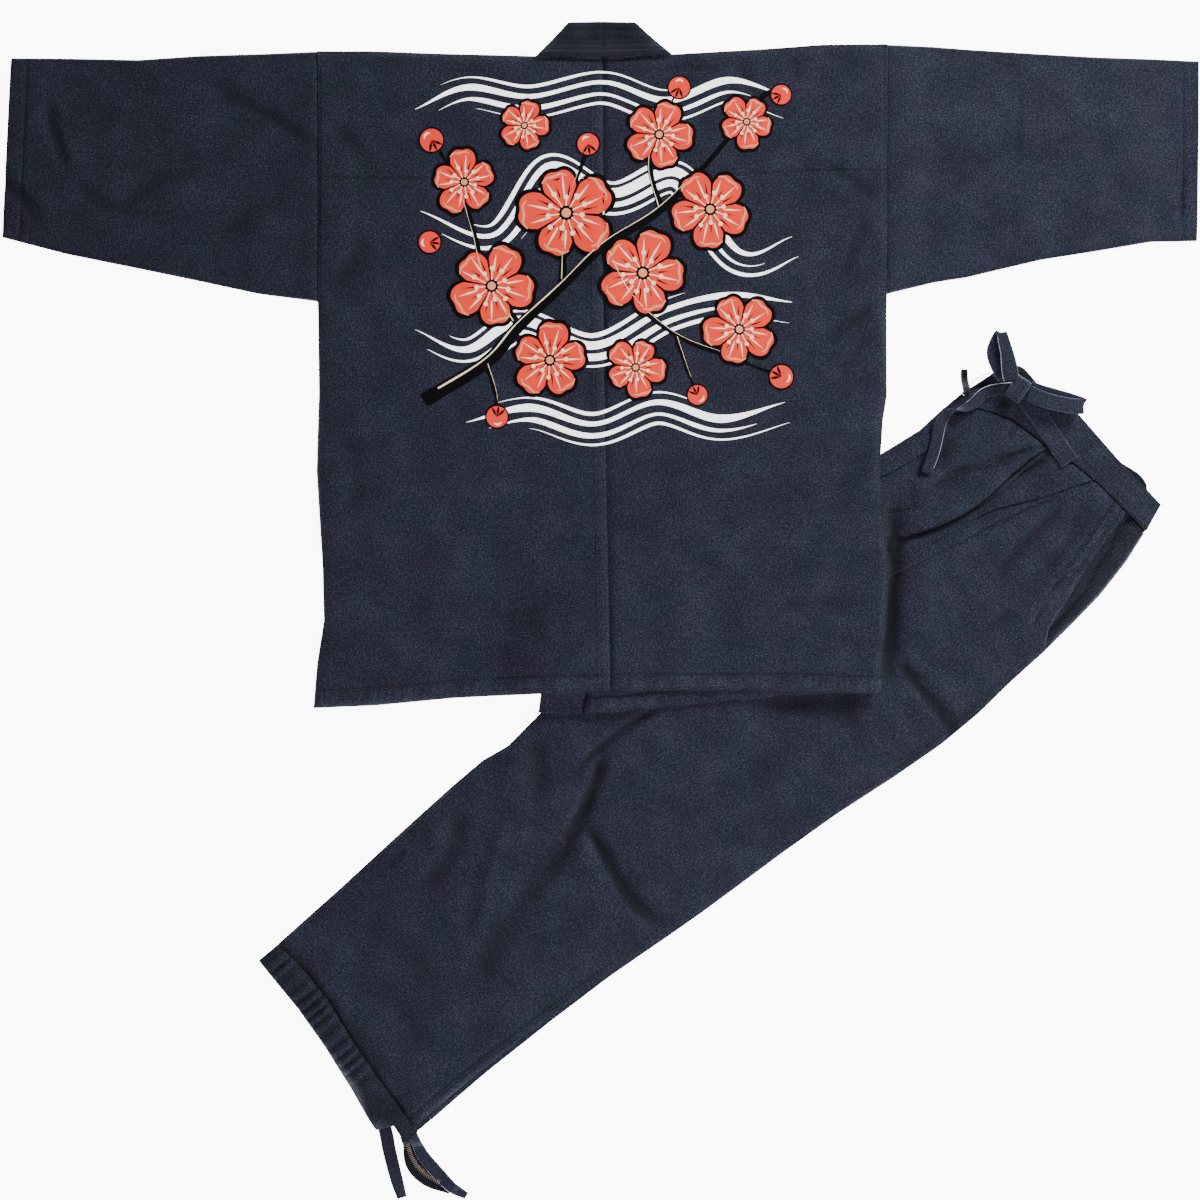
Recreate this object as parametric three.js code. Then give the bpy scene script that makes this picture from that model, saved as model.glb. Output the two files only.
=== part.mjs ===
// A samue in indigo denim: a crossover jacket and its drawstring trousers, laid out flat on a surface.
//
// The jacket lies back up with its sleeves spread. Its two fronts cross under the back, each edged by
// a collar band. The trousers are folded in half down their centre, so their left half lies on their
// right half, and the jacket's lower corner lies over them.
//
// Millimetres, +Z up, and z = 0 is the surface. X runs along the sleeves and Y up the jacket's back.
// Every panel is a wall of cloth. It is laid on a map of the cloth already there, so that each layer
// drapes over the edges of the ones below it with a small gap between them.

import * as THREE from "three";

// Driving sizes
const CLOTH = 1.2; // one thickness of denim
const HEMMED = 2.4; // a hem, band or strap, where the cloth is doubled
const GAP = 0.35; // between two layers, and between two panels at a seam
const CHORD = 0.4; // more room where two pieces follow a curved seam with different points
const MAP_CELL = 5; // the map's square
const MAP_HALF = 690; // the map reaches this far from its middle
const CLEAR_PASSES = 60; // how often a sheet is raised, at most, until it clears what it lies on
const CLEAR_SHARE = 0.7; // the share of what is missing that one pass adds
const CLEAR_SLACK = 0.03; // what may still be missing then
const SOFT_REACH = 8; // how far cloth bridges the edge of a thin layer
const STIFF_REACH = 20; // how far the jacket bridges the edge of the folded trousers

// The jacket's own frame: out from the middle of the back, to +X, and down from the neck seam.
const NECK = { x: 3, y: 597 };
const BACK_LENGTH = 712;
const BAND_WIDTH = 50; // the collar band at the hem
const SLEEVE_HOLLOW = 1; // the space between a sleeve's two walls at its edges
const SLEEVE_LOFT = 2; // how much more there is along its middle
const SLEEVE_WALL = 1.5; // from a sleeve's outline to its hollow, at its two edges
const SLEEVE_CORNER = { outer: 1.4, inner: 0.3 }; // how far the two edges are rounded off
const SLEEVE_STEPS = 12; // along a sleeve
const WALL_STEPS = 8; // over each wall of a sleeve
const LOFT_POWER = 0.7; // under 1, a loft rises fast at its edges and is even along its middle

const BODY = [
  { down: -20, left: -313, centre: 0, right: 312 },
  { down: 270, left: -313, centre: 1, right: 312 },
  { down: 372, left: -312, centre: 2, right: 312 },
  { down: 400, left: -313, centre: 3, right: 307 },
  { down: 456, left: -314.5, centre: 4, right: 303 },
  { down: 560, left: -308, centre: 6, right: 313 },
  { down: 620, left: -306.5, centre: 7, right: 310 },
  { down: 667, left: -314, centre: 8, right: 306 },
  { down: BACK_LENGTH + 10, left: -318.5, centre: 8, right: 304 },
];
const SHOULDER = [
  { out: -313, down: -6.5 },
  { out: -250, down: -6.5 },
  { out: -185, down: -4 },
  { out: -75, down: -1 },
  { out: 0, down: 0 },
  { out: 78, down: -3 },
  { out: 174, down: -8.5 },
  { out: 241, down: -13.5 },
  { out: 312, down: -14 },
];
const BACK_HEM = [
  { out: -318, down: 716 },
  { out: -249, down: 713 },
  { out: -165, down: 705 },
  { out: -72, down: 700 },
  { out: 20, down: 697 },
  { out: 214, down: 697 },
  { out: 305, down: 701 },
];
// The right front dips below the back's hem. The left front stays hidden above it.
const RIGHT_FRONT_HEM = [
  { out: -71, down: 720.5 },
  { out: -41, down: 722.5 },
  { out: 21, down: 721 },
  { out: 63, down: 715 },
  { out: 153, down: 707 },
  { out: 305, down: 695 },
];
const LEFT_FRONT_HEM = [
  { out: -318, down: 710 },
  { out: -165, down: 699 },
  { out: 72, down: 691 },
];
// The two edges of each collar band, from the fold at the neck to the hem.
const RIGHT_BAND = [
  { down: -36, free: 36, sewn: 76 },
  { down: BACK_LENGTH + 10, free: -71, sewn: -71 + BAND_WIDTH },
];
const LEFT_BAND = [
  { down: -38, free: -37, sewn: -77 },
  { down: BACK_LENGTH + 10, free: 70, sewn: 70 - BAND_WIDTH },
];
// The collar behind the neck, which leans in towards its top.
const NECK_COLLAR = [
  { left: -74, right: 77 },
  { left: -38, right: 36, down: -38 },
];
const NECK_ARCH = 1.5; // how far its top edge rises in the middle

// The sleeves, in the jacket's frame, from the armhole to the cuff. Their lower edge leans outwards.
const LEFT_SLEEVE = [
  { out: -313.3, top: -6.5, bottom: 269, lean: 0 },
  { out: -380, top: -4, bottom: 260, lean: 0 },
  { out: -445, top: -2, bottom: 246, lean: 0 },
  { out: -511, top: 2.5, bottom: 232, lean: 2 },
  { out: -586, top: 1, bottom: 216, lean: 6 },
  { out: -651, top: 0.5, bottom: 198, lean: 9.5 },
];
const RIGHT_SLEEVE = [
  { out: 312.3, top: -14, bottom: 261, lean: 0 },
  { out: 363, top: -12, bottom: 248, lean: 0 },
  { out: 401, top: -9, bottom: 242, lean: 0 },
  { out: 481, top: -4, bottom: 223, lean: 0 },
  { out: 544, top: -0.5, bottom: 213, lean: 0 },
  { out: 603, top: 1.5, bottom: 203, lean: 0 },
  { out: 656, top: 4, bottom: 202, lean: -2 },
];

// The trousers' own frame: up from the ankle to the waist, and side across, to + at the outer seam.
const ANKLE = { x: -274, y: -487 };
const LEG_TURN = THREE.MathUtils.degToRad(39.7);
const WAIST_SEAM = 1000; // about how high the waist seam is, for a first guess of a place
const WAIST_CORNER = 1031; // the waist seam at the side seam
const WAIST_TOP = 1060; // the waistband's upper edge
const UNDER_HEM = { hem: -14, seam: 14 }; // the ankle casing of the three lower layers

const LEG = [
  { up: -40, inner: -133, outer: 121 },
  { up: 6, inner: -135, outer: 121 },
  { up: 94, inner: -138, outer: 119.5 },
  { up: 182, inner: -142.5, outer: 121.5 },
  { up: 264, inner: -146, outer: 125 },
  { up: 310, inner: -146.5, outer: 129 },
  { up: 342, inner: -141, outer: 132 },
  { up: 392, inner: -146, outer: 136 },
  { up: 500, inner: -159, outer: 142 },
  { up: 570, inner: -170, outer: 147 },
  { up: 645, inner: -182, outer: 156 },
  { up: 708, inner: -189, outer: 161.5 },
  { up: 763, inner: -163, outer: 161.5 },
  { up: 810, inner: -139, outer: 157.5 },
  { up: 861, inner: -126, outer: 155.5 },
  { up: 911, inner: -119, outer: 151 },
  { up: 950, inner: -121, outer: 146.5 },
  { up: 994, inner: -121.5, outer: 137 },
  { up: 1031, inner: -118, outer: 124.5 },
  { up: 1064, inner: -115, outer: 111.5 },
];
// The slanted mouth of the hip pocket, which is the front's edge there.
const POCKET_MOUTH = [
  { up: 866, side: 152 },
  { up: 879, side: 140 },
  { up: 937, side: 121 },
  { up: 973, side: 110 },
  { up: 1031, side: 95 },
];
// The front's waistband dips at the centre front, where the back's shows behind it.
const FRONT_WAIST = {
  seam: [
    { side: -122, up: 942 },
    { side: -110, up: 950 },
    { side: -97, up: 974 },
    { side: -80, up: 986 },
    { side: -61, up: 996 },
    { side: -18, up: 1006 },
    { side: 19, up: 1017 },
    { side: 54, up: 1024 },
    { side: 124, up: 1030 },
  ],
  top: [
    { side: -120, up: 984 },
    { side: -112, up: 990 },
    { side: -104, up: 1010 },
    { side: -97, up: 1020 },
    { side: -80, up: 1031 },
    { side: -58, up: 1046 },
    { side: -20, up: 1056 },
    { side: 42, up: 1057.5 },
    { side: 111, up: 1062 },
  ],
};
const BACK_WAIST = {
  seam: [
    { side: -122, up: 972 },
    { side: 124, up: 1028 },
  ],
  top: [
    { side: -120, up: 1010 },
    { side: -109, up: 1036 },
    { side: -100, up: 1043 },
    { side: -73, up: 1043 },
    { side: -63, up: 1051 },
    { side: -20, up: 1054 },
    { side: 42, up: 1056 },
    { side: 72, up: 1066 },
    { side: 84, up: 1066 },
    { side: 92, up: 1061 },
    { side: 111, up: 1060 },
  ],
};
// The top layer's hem at the ankle, and the seam of its casing.
const ANKLE_HEM = [
  { side: -133, up: -19 },
  { side: -66, up: -19.5 },
  { side: -16, up: -23.5 },
  { side: 33, up: -31 },
  { side: 92, up: -39.5 },
  { side: 99, up: -20 },
  { side: 124, up: -23 },
];
const CASING_SEAM = [
  { side: -133, up: 9 },
  { side: -92, up: 14 },
  { side: -49, up: 12 },
  { side: 0, up: 4 },
  { side: 50, up: 0 },
  { side: 125, up: -4 },
];
// The four layers from the lowest up, and how far each one's edges lie from the outline.
const LAYERS = [
  { name: "right_front", waist: FRONT_WAIST, inner: 1.5, outer: -0.5, ankleOuter: 0, rows: 20 },
  { name: "right_back", waist: BACK_WAIST, inner: 1, outer: 0.3, ankleOuter: 0, rows: 20 },
  { name: "left_back", waist: BACK_WAIST, inner: 0.5, outer: 0.6, ankleOuter: 0, rows: 20 },
  { name: "left_front", waist: FRONT_WAIST, inner: 0, outer: 0, ankleOuter: -6, rows: 40 },
];
const ANKLE_SPREAD = 300; // below this height the top layer draws in from the outer seam

// Two pleats of the left front open from the waist seam. The cloth towards the centre lies higher.
const PLEATS = [
  { up: 640, first: -70, second: -20, rise: 0 },
  { up: 740, first: -60, second: -25, rise: 1.2 },
  { up: 812, first: -42, second: -12, rise: 3 },
  { up: 863, first: -23, second: 0, rise: 4 },
  { up: 913, first: -12, second: 10, rise: 4.5 },
  { up: 948, first: -13, second: 20, rise: 4 },
  { up: 991, first: -14, second: 34, rise: 3.2 },
  { up: 1031, first: -13, second: 46, rise: 2 },
];
const PLEAT_STEP = 4; // the width over which a pleat's edge drops
const PLEAT_SPREAD = { first: 36, second: 22 }; // how far the cloth slopes up to each one
const FRONT_CELLS = [6, 1, 2, 1, 5]; // the front's columns between its edges and the pleats' edges
const FRONT_COLUMNS = FRONT_CELLS.reduce((sum, count) => sum + count);

// Soft folds that cross the left front where it was folded away, and others that run along it.
const LEG_FOLDS = [
  { up: 729, side: 20, toUp: 728, toSide: 150, height: 2.2, width: 20 },
  { up: 338, side: 0, toUp: 339, toSide: 104, height: 2.4, width: 26 },
  { up: 395, side: -40, toUp: 303, toSide: -12, height: 2, width: 30 },
  { up: 463, side: -75, toUp: 392, toSide: -80, height: 1.6, width: 28 },
  { up: 52, side: -120, toUp: 50, toSide: -30, height: 1.4, width: 22 },
  { up: 968, side: -40, toUp: 890, toSide: -60, height: 1.4, width: 22 },
];
const FOLD_END = { share: 0.35, slope: 4 }; // a fold starts at this share of its height
const WAIST_PUFF = 0.6; // the elastic swells the waistband along its middle
const LEG_LOFT = 1.8; // how much a trouser leg stands up along its middle
const CASING_WAVE = 1.1; // the height of the gathers in the ankle casing
const CASING_WAVES = 15;
const CASING_FADE = { inner: 5, outer: 2.2, edges: 0.55 }; // the gathers flatten towards the sides and edges
const FLY = { bottom: 790, top: 940, edge: 1, width: 22 };
const FACING = { bottom: 858, underlap: 26, side: 110 };

// The waist tie, in world millimetres from its knot at the centre front.
const STRAP = 1.6; // thickness of a folded and pressed strap
const KNOT = { x: 457, y: 231, length: 28, width: 19, height: 7, turn: THREE.MathUtils.degToRad(56) };
const LOOPS = [
  { name: "waist_tie_loop_up", turn: 99, start: 15.8, length: 63, shift: 8, width: 18, skew: 12, drop: 8 },
  { name: "waist_tie_loop_side", turn: -13, start: 12.1, length: 72, shift: -4, width: 16, skew: 9, drop: 1 },
];
const LOOP_GAP = 3.4; // between the two runs of a loop
const LOOP_STEPS = 6; // along each run, and round the turn
const RIGHT_TAIL = [
  { x: 462, y: 222, width: 18 },
  { x: 478, y: 207, width: 21 },
  { x: 495, y: 180, width: 21 },
  { x: 514.5, y: 150.5, width: 20.5 },
];
// The left tail lies on its right side, turns over on its edge, and lies on its left side.
const LEFT_TAIL = [
  { x: 447, y: 228, width: 13 },
  { x: 432, y: 231, width: 13 },
  { x: 419, y: 225, width: 12 },
  { x: 412, y: 218, width: 11 },
  { x: 403, y: 210, width: 8 },
  { x: 393, y: 209, width: 4 },
  { x: 384, y: 209, width: 6 },
  { x: 376, y: 200, width: 12 },
  { x: 371, y: 185, width: 13 },
  { x: 368, y: 165, width: 13 },
  { x: 362.5, y: 153, width: 13 },
  { x: 357.5, y: 139, width: 12 },
];
const WAIST_LOOP = [
  { x: 402, y: 226, width: 8 },
  { x: 401, y: 254, width: 7.5 },
];
// The ties at the ankle, along their middle lines.
const ANKLE_TIES = {
  ankle_tie_under: [
    { x: -218, y: -570, width: 12 },
    { x: -211, y: -596, width: 13 },
    { x: -206, y: -620, width: 17 },
    { x: -190, y: -637, width: 17 },
    { x: -164, y: -648, width: 13 },
  ],
  ankle_tie_back: [
    { x: -213, y: -567, width: 11 },
    { x: -203.5, y: -591, width: 11 },
    { x: -196, y: -609, width: 13 },
    { x: -179, y: -630, width: 14 },
    { x: -162, y: -647, width: 12 },
    { x: -147, y: -656, width: 8 },
  ],
  ankle_tie_front: [
    { x: -248, y: -538, width: 15 },
    { x: -236, y: -585, width: 15 },
    { x: -232, y: -606, width: 15 },
    { x: -224, y: -638, width: 14 },
    { x: -218, y: -658, width: 11 },
  ],
};
// The jacket's outer ties lie hidden under its fronts.
const FRONT_TIES = {
  front_tie_left: [
    { x: 10, y: 222, width: 24 },
    { x: -110, y: 214, width: 24 },
    { x: -226, y: 190, width: 22 },
  ],
  front_tie_right: [
    { x: 306, y: 250, width: 24 },
    { x: 180, y: 262, width: 24 },
    { x: 66, y: 250, width: 22 },
  ],
};

const denim = (name, color, roughness = 0.95) =>
  new THREE.MeshStandardMaterial({ name, color, roughness, metalness: 0 });
const JACKET_DENIM = denim("jacket_denim", 0x2b3040);
const TROUSER_DENIM = denim("trouser_denim", 0x292d3b);
const STRAP_DENIM = denim("strap_denim", 0x2c3240);

const mix = (a, b, t) => a + (b - a) * t;
const limit = (x, low, high) => Math.min(high, Math.max(low, x));
const ease = (t) => limit(t, 0, 1) ** 2 * (3 - 2 * limit(t, 0, 1));

// One column of a table at a value of another, straight between its rows.
function read(table, by, at, want) {
  const rising = table[0][by] < table[table.length - 1][by];
  const rows = rising ? table : [...table].reverse();
  const above = rows.findIndex((row) => row[by] >= at);
  if (above === 0) return rows[0][want];
  if (above < 0) return rows[rows.length - 1][want];
  const [low, high] = [rows[above - 1], rows[above]];
  return mix(low[want], high[want], (at - low[by]) / (high[by] - low[by]));
}

const fromJacket = (out, down) => [NECK.x + out, NECK.y - down];
function fromLeg(up, side) {
  const [c, s] = [Math.cos(LEG_TURN), Math.sin(LEG_TURN)];
  return [ANKLE.x + up * c + side * s, ANKLE.y + up * s - side * c];
}

// The map of the cloth already laid: for each square, the height that the next layer has to clear.
class ClothMap {
  constructor() {
    this.side = Math.round((2 * MAP_HALF) / MAP_CELL) + 1;
    this.heights = new Float32Array(this.side * this.side);
    this.layer = [];
  }

  // The index along one side of the map, as a fraction.
  column(x) {
    return limit((x + MAP_HALF) / MAP_CELL, 0, this.side - 1.001);
  }

  // Each square takes the result of `pick` over the squares within `reach`, first along rows, then columns.
  swept(from, reach, pick) {
    let now = from;
    for (const stride of [1, this.side]) {
      const next = new Float32Array(now.length);
      for (let i = 0; i < now.length; i += 1) {
        const along = stride === 1 ? i % this.side : Math.floor(i / this.side);
        const first = Math.max(0, along - reach);
        const last = Math.min(this.side - 1, along + reach);
        const window = [];
        for (let k = first; k <= last; k += 1) window.push(now[i + (k - along) * stride]);
        next[i] = pick(window);
      }
      now = next;
    }
    return now;
  }

  // A smooth sheet over everything laid, which bridges each edge over about `reach` millimetres.
  cover(reach) {
    const squares = Math.max(1, Math.round(reach / MAP_CELL));
    const raised = this.swept(this.heights, squares + 1, (w) => Math.max(...w));
    return this.swept(raised, squares, (w) => w.reduce((a, b) => a + b, 0) / w.length);
  }

  // Pieces of one layer lie side by side, so they are added to the map together.
  finishLayer() {
    for (const { points, triangles, thickness } of this.layer) this.add(points, triangles, thickness);
    this.layer = [];
  }

  at(sheet, x, y) {
    const [cx, cy] = [this.column(x), this.column(y)];
    const [i, j] = [Math.floor(cx), Math.floor(cy)];
    const [u, v] = [cx - i, cy - j];
    const k = j * this.side + i;
    const near = mix(sheet[k], sheet[k + 1], u);
    const far = mix(sheet[k + this.side], sheet[k + this.side + 1], u);
    return mix(near, far, v);
  }

  // Calls visit(square, weights) for each square whose middle is on or just outside a triangle.
  under(a, b, c, visit) {
    const area = (b[0] - a[0]) * (c[1] - a[1]) - (c[0] - a[0]) * (b[1] - a[1]);
    if (Math.abs(area) < 1e-6) return;
    const spill = 0.8 * MAP_CELL;
    const slack = [
      (spill * Math.hypot(c[0] - b[0], c[1] - b[1])) / Math.abs(area),
      (spill * Math.hypot(a[0] - c[0], a[1] - c[1])) / Math.abs(area),
      (spill * Math.hypot(b[0] - a[0], b[1] - a[1])) / Math.abs(area),
    ];
    const span = (k) => [
      Math.floor(this.column(Math.min(a[k], b[k], c[k]) - spill)),
      Math.ceil(this.column(Math.max(a[k], b[k], c[k]) + spill)),
    ];
    const [left, right] = span(0);
    const [bottom, top] = span(1);
    for (let j = bottom; j <= top; j += 1) {
      for (let i = left; i <= right; i += 1) {
        const [x, y] = [i * MAP_CELL - MAP_HALF, j * MAP_CELL - MAP_HALF];
        const wa = ((b[0] - x) * (c[1] - y) - (c[0] - x) * (b[1] - y)) / area;
        const wb = ((c[0] - x) * (a[1] - y) - (a[0] - x) * (c[1] - y)) / area;
        const weights = [wa, wb, 1 - wa - wb];
        if (weights.every((w, n) => w >= -slack[n])) visit(j * this.side + i, weights);
      }
    }
  }

  // Raises a sheet's points until none of its triangles cuts into what lies below.
  clear(points, triangles) {
    const keep = this.swept(this.heights, 1, (w) => Math.max(...w));
    for (let pass = 0; pass < CLEAR_PASSES; pass += 1) {
      let worst = 0;
      for (const corners of triangles) {
        const [a, b, c] = corners.map((n) => points[n]);
        this.under(a, b, c, (square, weights) => {
          const here = weights[0] * a[2] + weights[1] * b[2] + weights[2] * c[2];
          const short = keep[square] - here;
          if (short <= CLEAR_SLACK / 3) return;
          worst = Math.max(worst, short);
          const share = weights.map((w) => Math.max(w, 0));
          const whole = share.reduce((sum, w) => sum + w * w, 0);
          corners.forEach((n, k) => {
            points[n][2] += (CLEAR_SHARE * short * share[k]) / whole;
          });
        });
      }
      if (worst < CLEAR_SLACK) return;
    }
  }

  // Adds a sheet's upper side to the map.
  add(points, triangles, thickness) {
    for (const corners of triangles) {
      const [a, b, c] = corners.map((n) => points[n]);
      this.under(a, b, c, (square, weights) => {
        const share = weights.map((w) => limit(w, 0, 1));
        const whole = share[0] + share[1] + share[2];
        const here = (share[0] * a[2] + share[1] * b[2] + share[2] * c[2]) / whole;
        this.heights[square] = Math.max(this.heights[square], here + thickness + GAP);
      });
    }
  }
}

const laid = new ClothMap();
const jacket = new THREE.Group();
const trousers = new THREE.Group();
const ties = new THREE.Group();

// A closed geometry from shared points and faces.
function closed(points, faces) {
  const geometry = new THREE.BufferGeometry();
  geometry.setAttribute("position", new THREE.Float32BufferAttribute(points.flat(), 3));
  geometry.setIndex(faces.flat());
  geometry.computeVertexNormals();
  return geometry;
}

function put(group, name, geometry, material) {
  const mesh = new THREE.Mesh(geometry, material);
  mesh.name = name;
  group.add(mesh);
}

// A wall of cloth over a grid of places. place(i, j) gives [x, y], counter-clockwise from i to j.
// relief(i, j) is how much it stands up there over what it lies on.
function layPanel(group, name, material, panel) {
  const { columns, rows, place, relief = () => 0, thickness = CLOTH, reach = SOFT_REACH } = panel;
  const sheet = laid.cover(reach);
  const index = (i, j) => j * (columns + 1) + i;
  const lower = [];
  for (let j = 0; j <= rows; j += 1) {
    for (let i = 0; i <= columns; i += 1) {
      const [x, y] = place(i, j);
      lower.push([x, y, laid.at(sheet, x, y) + relief(i, j)]);
    }
  }
  const triangles = [];
  for (let j = 0; j < rows; j += 1) {
    for (let i = 0; i < columns; i += 1) {
      const [a, b, c, d] = [index(i, j), index(i + 1, j), index(i + 1, j + 1), index(i, j + 1)];
      triangles.push([a, b, c], [a, c, d]);
    }
  }
  laid.clear(lower, triangles);
  laid.layer.push({ points: lower, triangles, thickness });

  const count = lower.length;
  const upper = lower.map(([x, y, z]) => [x, y, z + thickness]);
  const rim = [];
  for (let i = 0; i < columns; i += 1) rim.push(index(i, 0));
  for (let j = 0; j < rows; j += 1) rim.push(index(columns, j));
  for (let i = columns; i > 0; i -= 1) rim.push(index(i, rows));
  for (let j = rows; j > 0; j -= 1) rim.push(index(0, j));
  const faces = [
    ...triangles.map(([a, b, c]) => [a + count, b + count, c + count]),
    ...triangles.map(([a, b, c]) => [a, c, b]),
  ];
  rim.forEach((a, k) => {
    const b = rim[(k + 1) % rim.length];
    faces.push([a, b, b + count], [a, b + count, a + count]);
  });
  put(group, name, closed([...lower, ...upper], faces), material);
}

// One half of the jacket's body, from its inner edge to its side seam, over `columns` and `rows`.
function bodyPlace({ columns, rows, inner, side, hem, inset = 0 }) {
  return (i, j) => {
    const across = i / columns;
    const below = j / rows;
    let [out, down] = [0, below * BACK_LENGTH];
    for (let turn = 0; turn < 3; turn += 1) {
      const edge = read(BODY, "down", down, side) - Math.sign(read(BODY, "down", down, side)) * inset;
      out = mix(inner(down), edge, across);
      const top = read(SHOULDER, "out", out, "down") + inset;
      down = mix(top, read(hem, "out", out, "down"), below);
    }
    return fromJacket(out, down);
  };
}

// Panels of the right side run the other way round, so their rows are turned to keep faces outward.
const turned = (place, rows) => (i, j) => place(i, rows - j);

function layBody() {
  const half = { columns: 9, rows: 20 };
  const front = { columns: 8, rows: 18, inset: 0.6 };
  const seam = GAP / 2;
  const bandEdge = (table, sign) => (down) => read(table, "down", down, "sewn") + sign * GAP;

  const leftFront = bodyPlace({
    ...front, inner: bandEdge(LEFT_BAND, -1), side: "left", hem: LEFT_FRONT_HEM,
  });
  layPanel(jacket, "front_left", JACKET_DENIM, { ...front, place: leftFront, reach: STIFF_REACH });
  layBand("collar_front_left", LEFT_BAND, LEFT_FRONT_HEM, false);
  laid.finishLayer();

  const rightFront = bodyPlace({
    ...front, inner: bandEdge(RIGHT_BAND, 1), side: "right", hem: RIGHT_FRONT_HEM,
  });
  layPanel(jacket, "front_right", JACKET_DENIM, {
    ...front, place: turned(rightFront, front.rows), reach: STIFF_REACH,
  });
  layBand("collar_front_right", RIGHT_BAND, RIGHT_FRONT_HEM, true);
  laid.finishLayer();

  const centre = (sign) => (down) => read(BODY, "down", down, "centre") + sign * seam;
  const leftBack = bodyPlace({ ...half, inner: centre(-1), side: "left", hem: BACK_HEM });
  const rightBack = bodyPlace({ ...half, inner: centre(1), side: "right", hem: BACK_HEM });
  layPanel(jacket, "back_left", JACKET_DENIM, { ...half, place: leftBack });
  layPanel(jacket, "back_right", JACKET_DENIM, { ...half, place: turned(rightBack, half.rows) });
  layNeckCollar();
  laid.finishLayer();
}

// A collar band down one front's edge, from its slanted fold at the neck to the hem.
function layBand(name, table, hem, isRight) {
  const [columns, rows] = [2, 20];
  const top = { free: table[0].down, sewn: isRight ? -5 : -3 };
  const place = (i, j) => {
    const across = i / columns;
    const start = mix(top.free, top.sewn, across);
    const bottom = read(hem, "out", mix(table[1].free, table[1].sewn, across), "down");
    const down = mix(start, bottom, j / rows);
    const out = mix(read(table, "down", down, "free"), read(table, "down", down, "sewn"), across);
    return fromJacket(out, down);
  };
  layPanel(jacket, name, JACKET_DENIM, {
    columns, rows, thickness: HEMMED, place: isRight ? turned(place, rows) : place,
  });
}

// The collar behind the neck: a doubled band above the neck seam.
function layNeckCollar() {
  const [columns, rows] = [12, 3];
  const [seam, top] = NECK_COLLAR;
  const place = (i, j) => {
    const [across, height] = [i / columns, j / rows];
    const out = mix(mix(seam.left, top.left, height), mix(seam.right, top.right, height), across);
    const arch = NECK_ARCH * Math.sin(Math.PI * across) * height;
    const foot = read(SHOULDER, "out", out, "down") - GAP - CHORD;
    return fromJacket(out, mix(foot, top.down, height) - arch);
  };
  layPanel(jacket, "collar_back", JACKET_DENIM, { columns, rows, thickness: HEMMED, place });
}

// A sleeve: a flattened tube, open at the armhole and the cuff, with its fold along the top.
function makeSleeve(name, table, isRight) {
  const [steps, across] = [SLEEVE_STEPS, WALL_STEPS];
  const [first, last] = [table[0].out, table[table.length - 1].out];
  const ringAt = (out, inset) => {
    const [top, bottom] = [read(table, "out", out, "top"), read(table, "out", out, "bottom")];
    const [low, high] = [bottom - inset, top + inset];
    const floor = inset > 0 ? CLOTH : 0;
    const roof = (t) => {
      const loft = SLEEVE_LOFT * Math.sin(Math.PI * t) ** LOFT_POWER;
      return CLOTH + SLEEVE_HOLLOW + loft + (inset > 0 ? 0 : CLOTH);
    };
    const corner = inset > 0 ? SLEEVE_CORNER.inner : SLEEVE_CORNER.outer;
    const ring = [];
    const at = (t) => mix(low - corner, high + corner, t);
    for (let k = 0; k <= across; k += 1) ring.push([out, at(k / across), floor]);
    ring.push([out, high, mix(floor, roof(1), 0.5)]);
    for (let k = across; k >= 0; k -= 1) ring.push([out, at(k / across), roof(k / across)]);
    ring.push([out, low, mix(floor, roof(0), 0.5)]);
    const lean = (down) => (read(table, "out", out, "lean") * (down - top)) / (bottom - top);
    return ring.map(([o, down, z]) => [...fromJacket(o + Math.sign(o) * lean(down), down), z]);
  };
  const points = [];
  for (let s = 0; s <= steps; s += 1) points.push(...ringAt(mix(first, last, s / steps), 0));
  for (let s = 0; s <= steps; s += 1) points.push(...ringAt(mix(first, last, s / steps), SLEEVE_WALL));
  const round = 2 * across + 4;
  const inner = (steps + 1) * round;
  const faces = [];
  const quad = (a, b, c, d) => faces.push(...(isRight ? [[a, c, b], [a, d, c]] : [[a, b, c], [a, c, d]]));
  for (let k = 0; k < round; k += 1) {
    const next = (k + 1) % round;
    for (let s = 0; s < steps; s += 1) {
      const [here, there] = [s * round, (s + 1) * round];
      quad(here + next, here + k, there + k, there + next);
      quad(inner + here + k, inner + here + next, inner + there + next, inner + there + k);
    }
    const end = steps * round;
    quad(k, next, inner + next, inner + k);
    quad(end + next, end + k, inner + end + k, inner + end + next);
  }
  put(jacket, name, closed(points, faces), JACKET_DENIM);
}

// How much the soft folds raise a place on the leg.
function foldRise(up, side) {
  return LEG_FOLDS.reduce((sum, fold) => {
    const [du, ds] = [fold.toUp - fold.up, fold.toSide - fold.side];
    const along = ((up - fold.up) * du + (side - fold.side) * ds) / (du * du + ds * ds);
    const near = limit(along, 0, 1);
    const away = Math.hypot(up - fold.up - near * du, side - fold.side - near * ds);
    const fade = ease(Math.min(near, 1 - near) * FOLD_END.slope + FOLD_END.share);
    return sum + fold.height * fade * Math.exp(-((away / fold.width) ** 2));
  }, 0);
}

// The left front stands up along its middle, over its pleats and folds.
function frontRise(up, side, inner, outer) {
  const across = limit((side - inner) / (outer - inner), 0, 1);
  const loft = LEG_LOFT * Math.sin(Math.PI * across) ** LOFT_POWER * ease((up + 20) / 60);
  const rise = read(PLEATS, "up", up, "rise");
  const hump = (pleat) => {
    const past = side - read(PLEATS, "up", up, pleat);
    const sloped = Math.exp(-((past / PLEAT_SPREAD[pleat]) ** 2));
    return past < 0 ? rise * sloped : rise * ease(1 - past / PLEAT_STEP);
  };
  const bent = Math.max(hump("first"), hump("second"));
  return loft + bent + foldRise(up, side);
}

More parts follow.
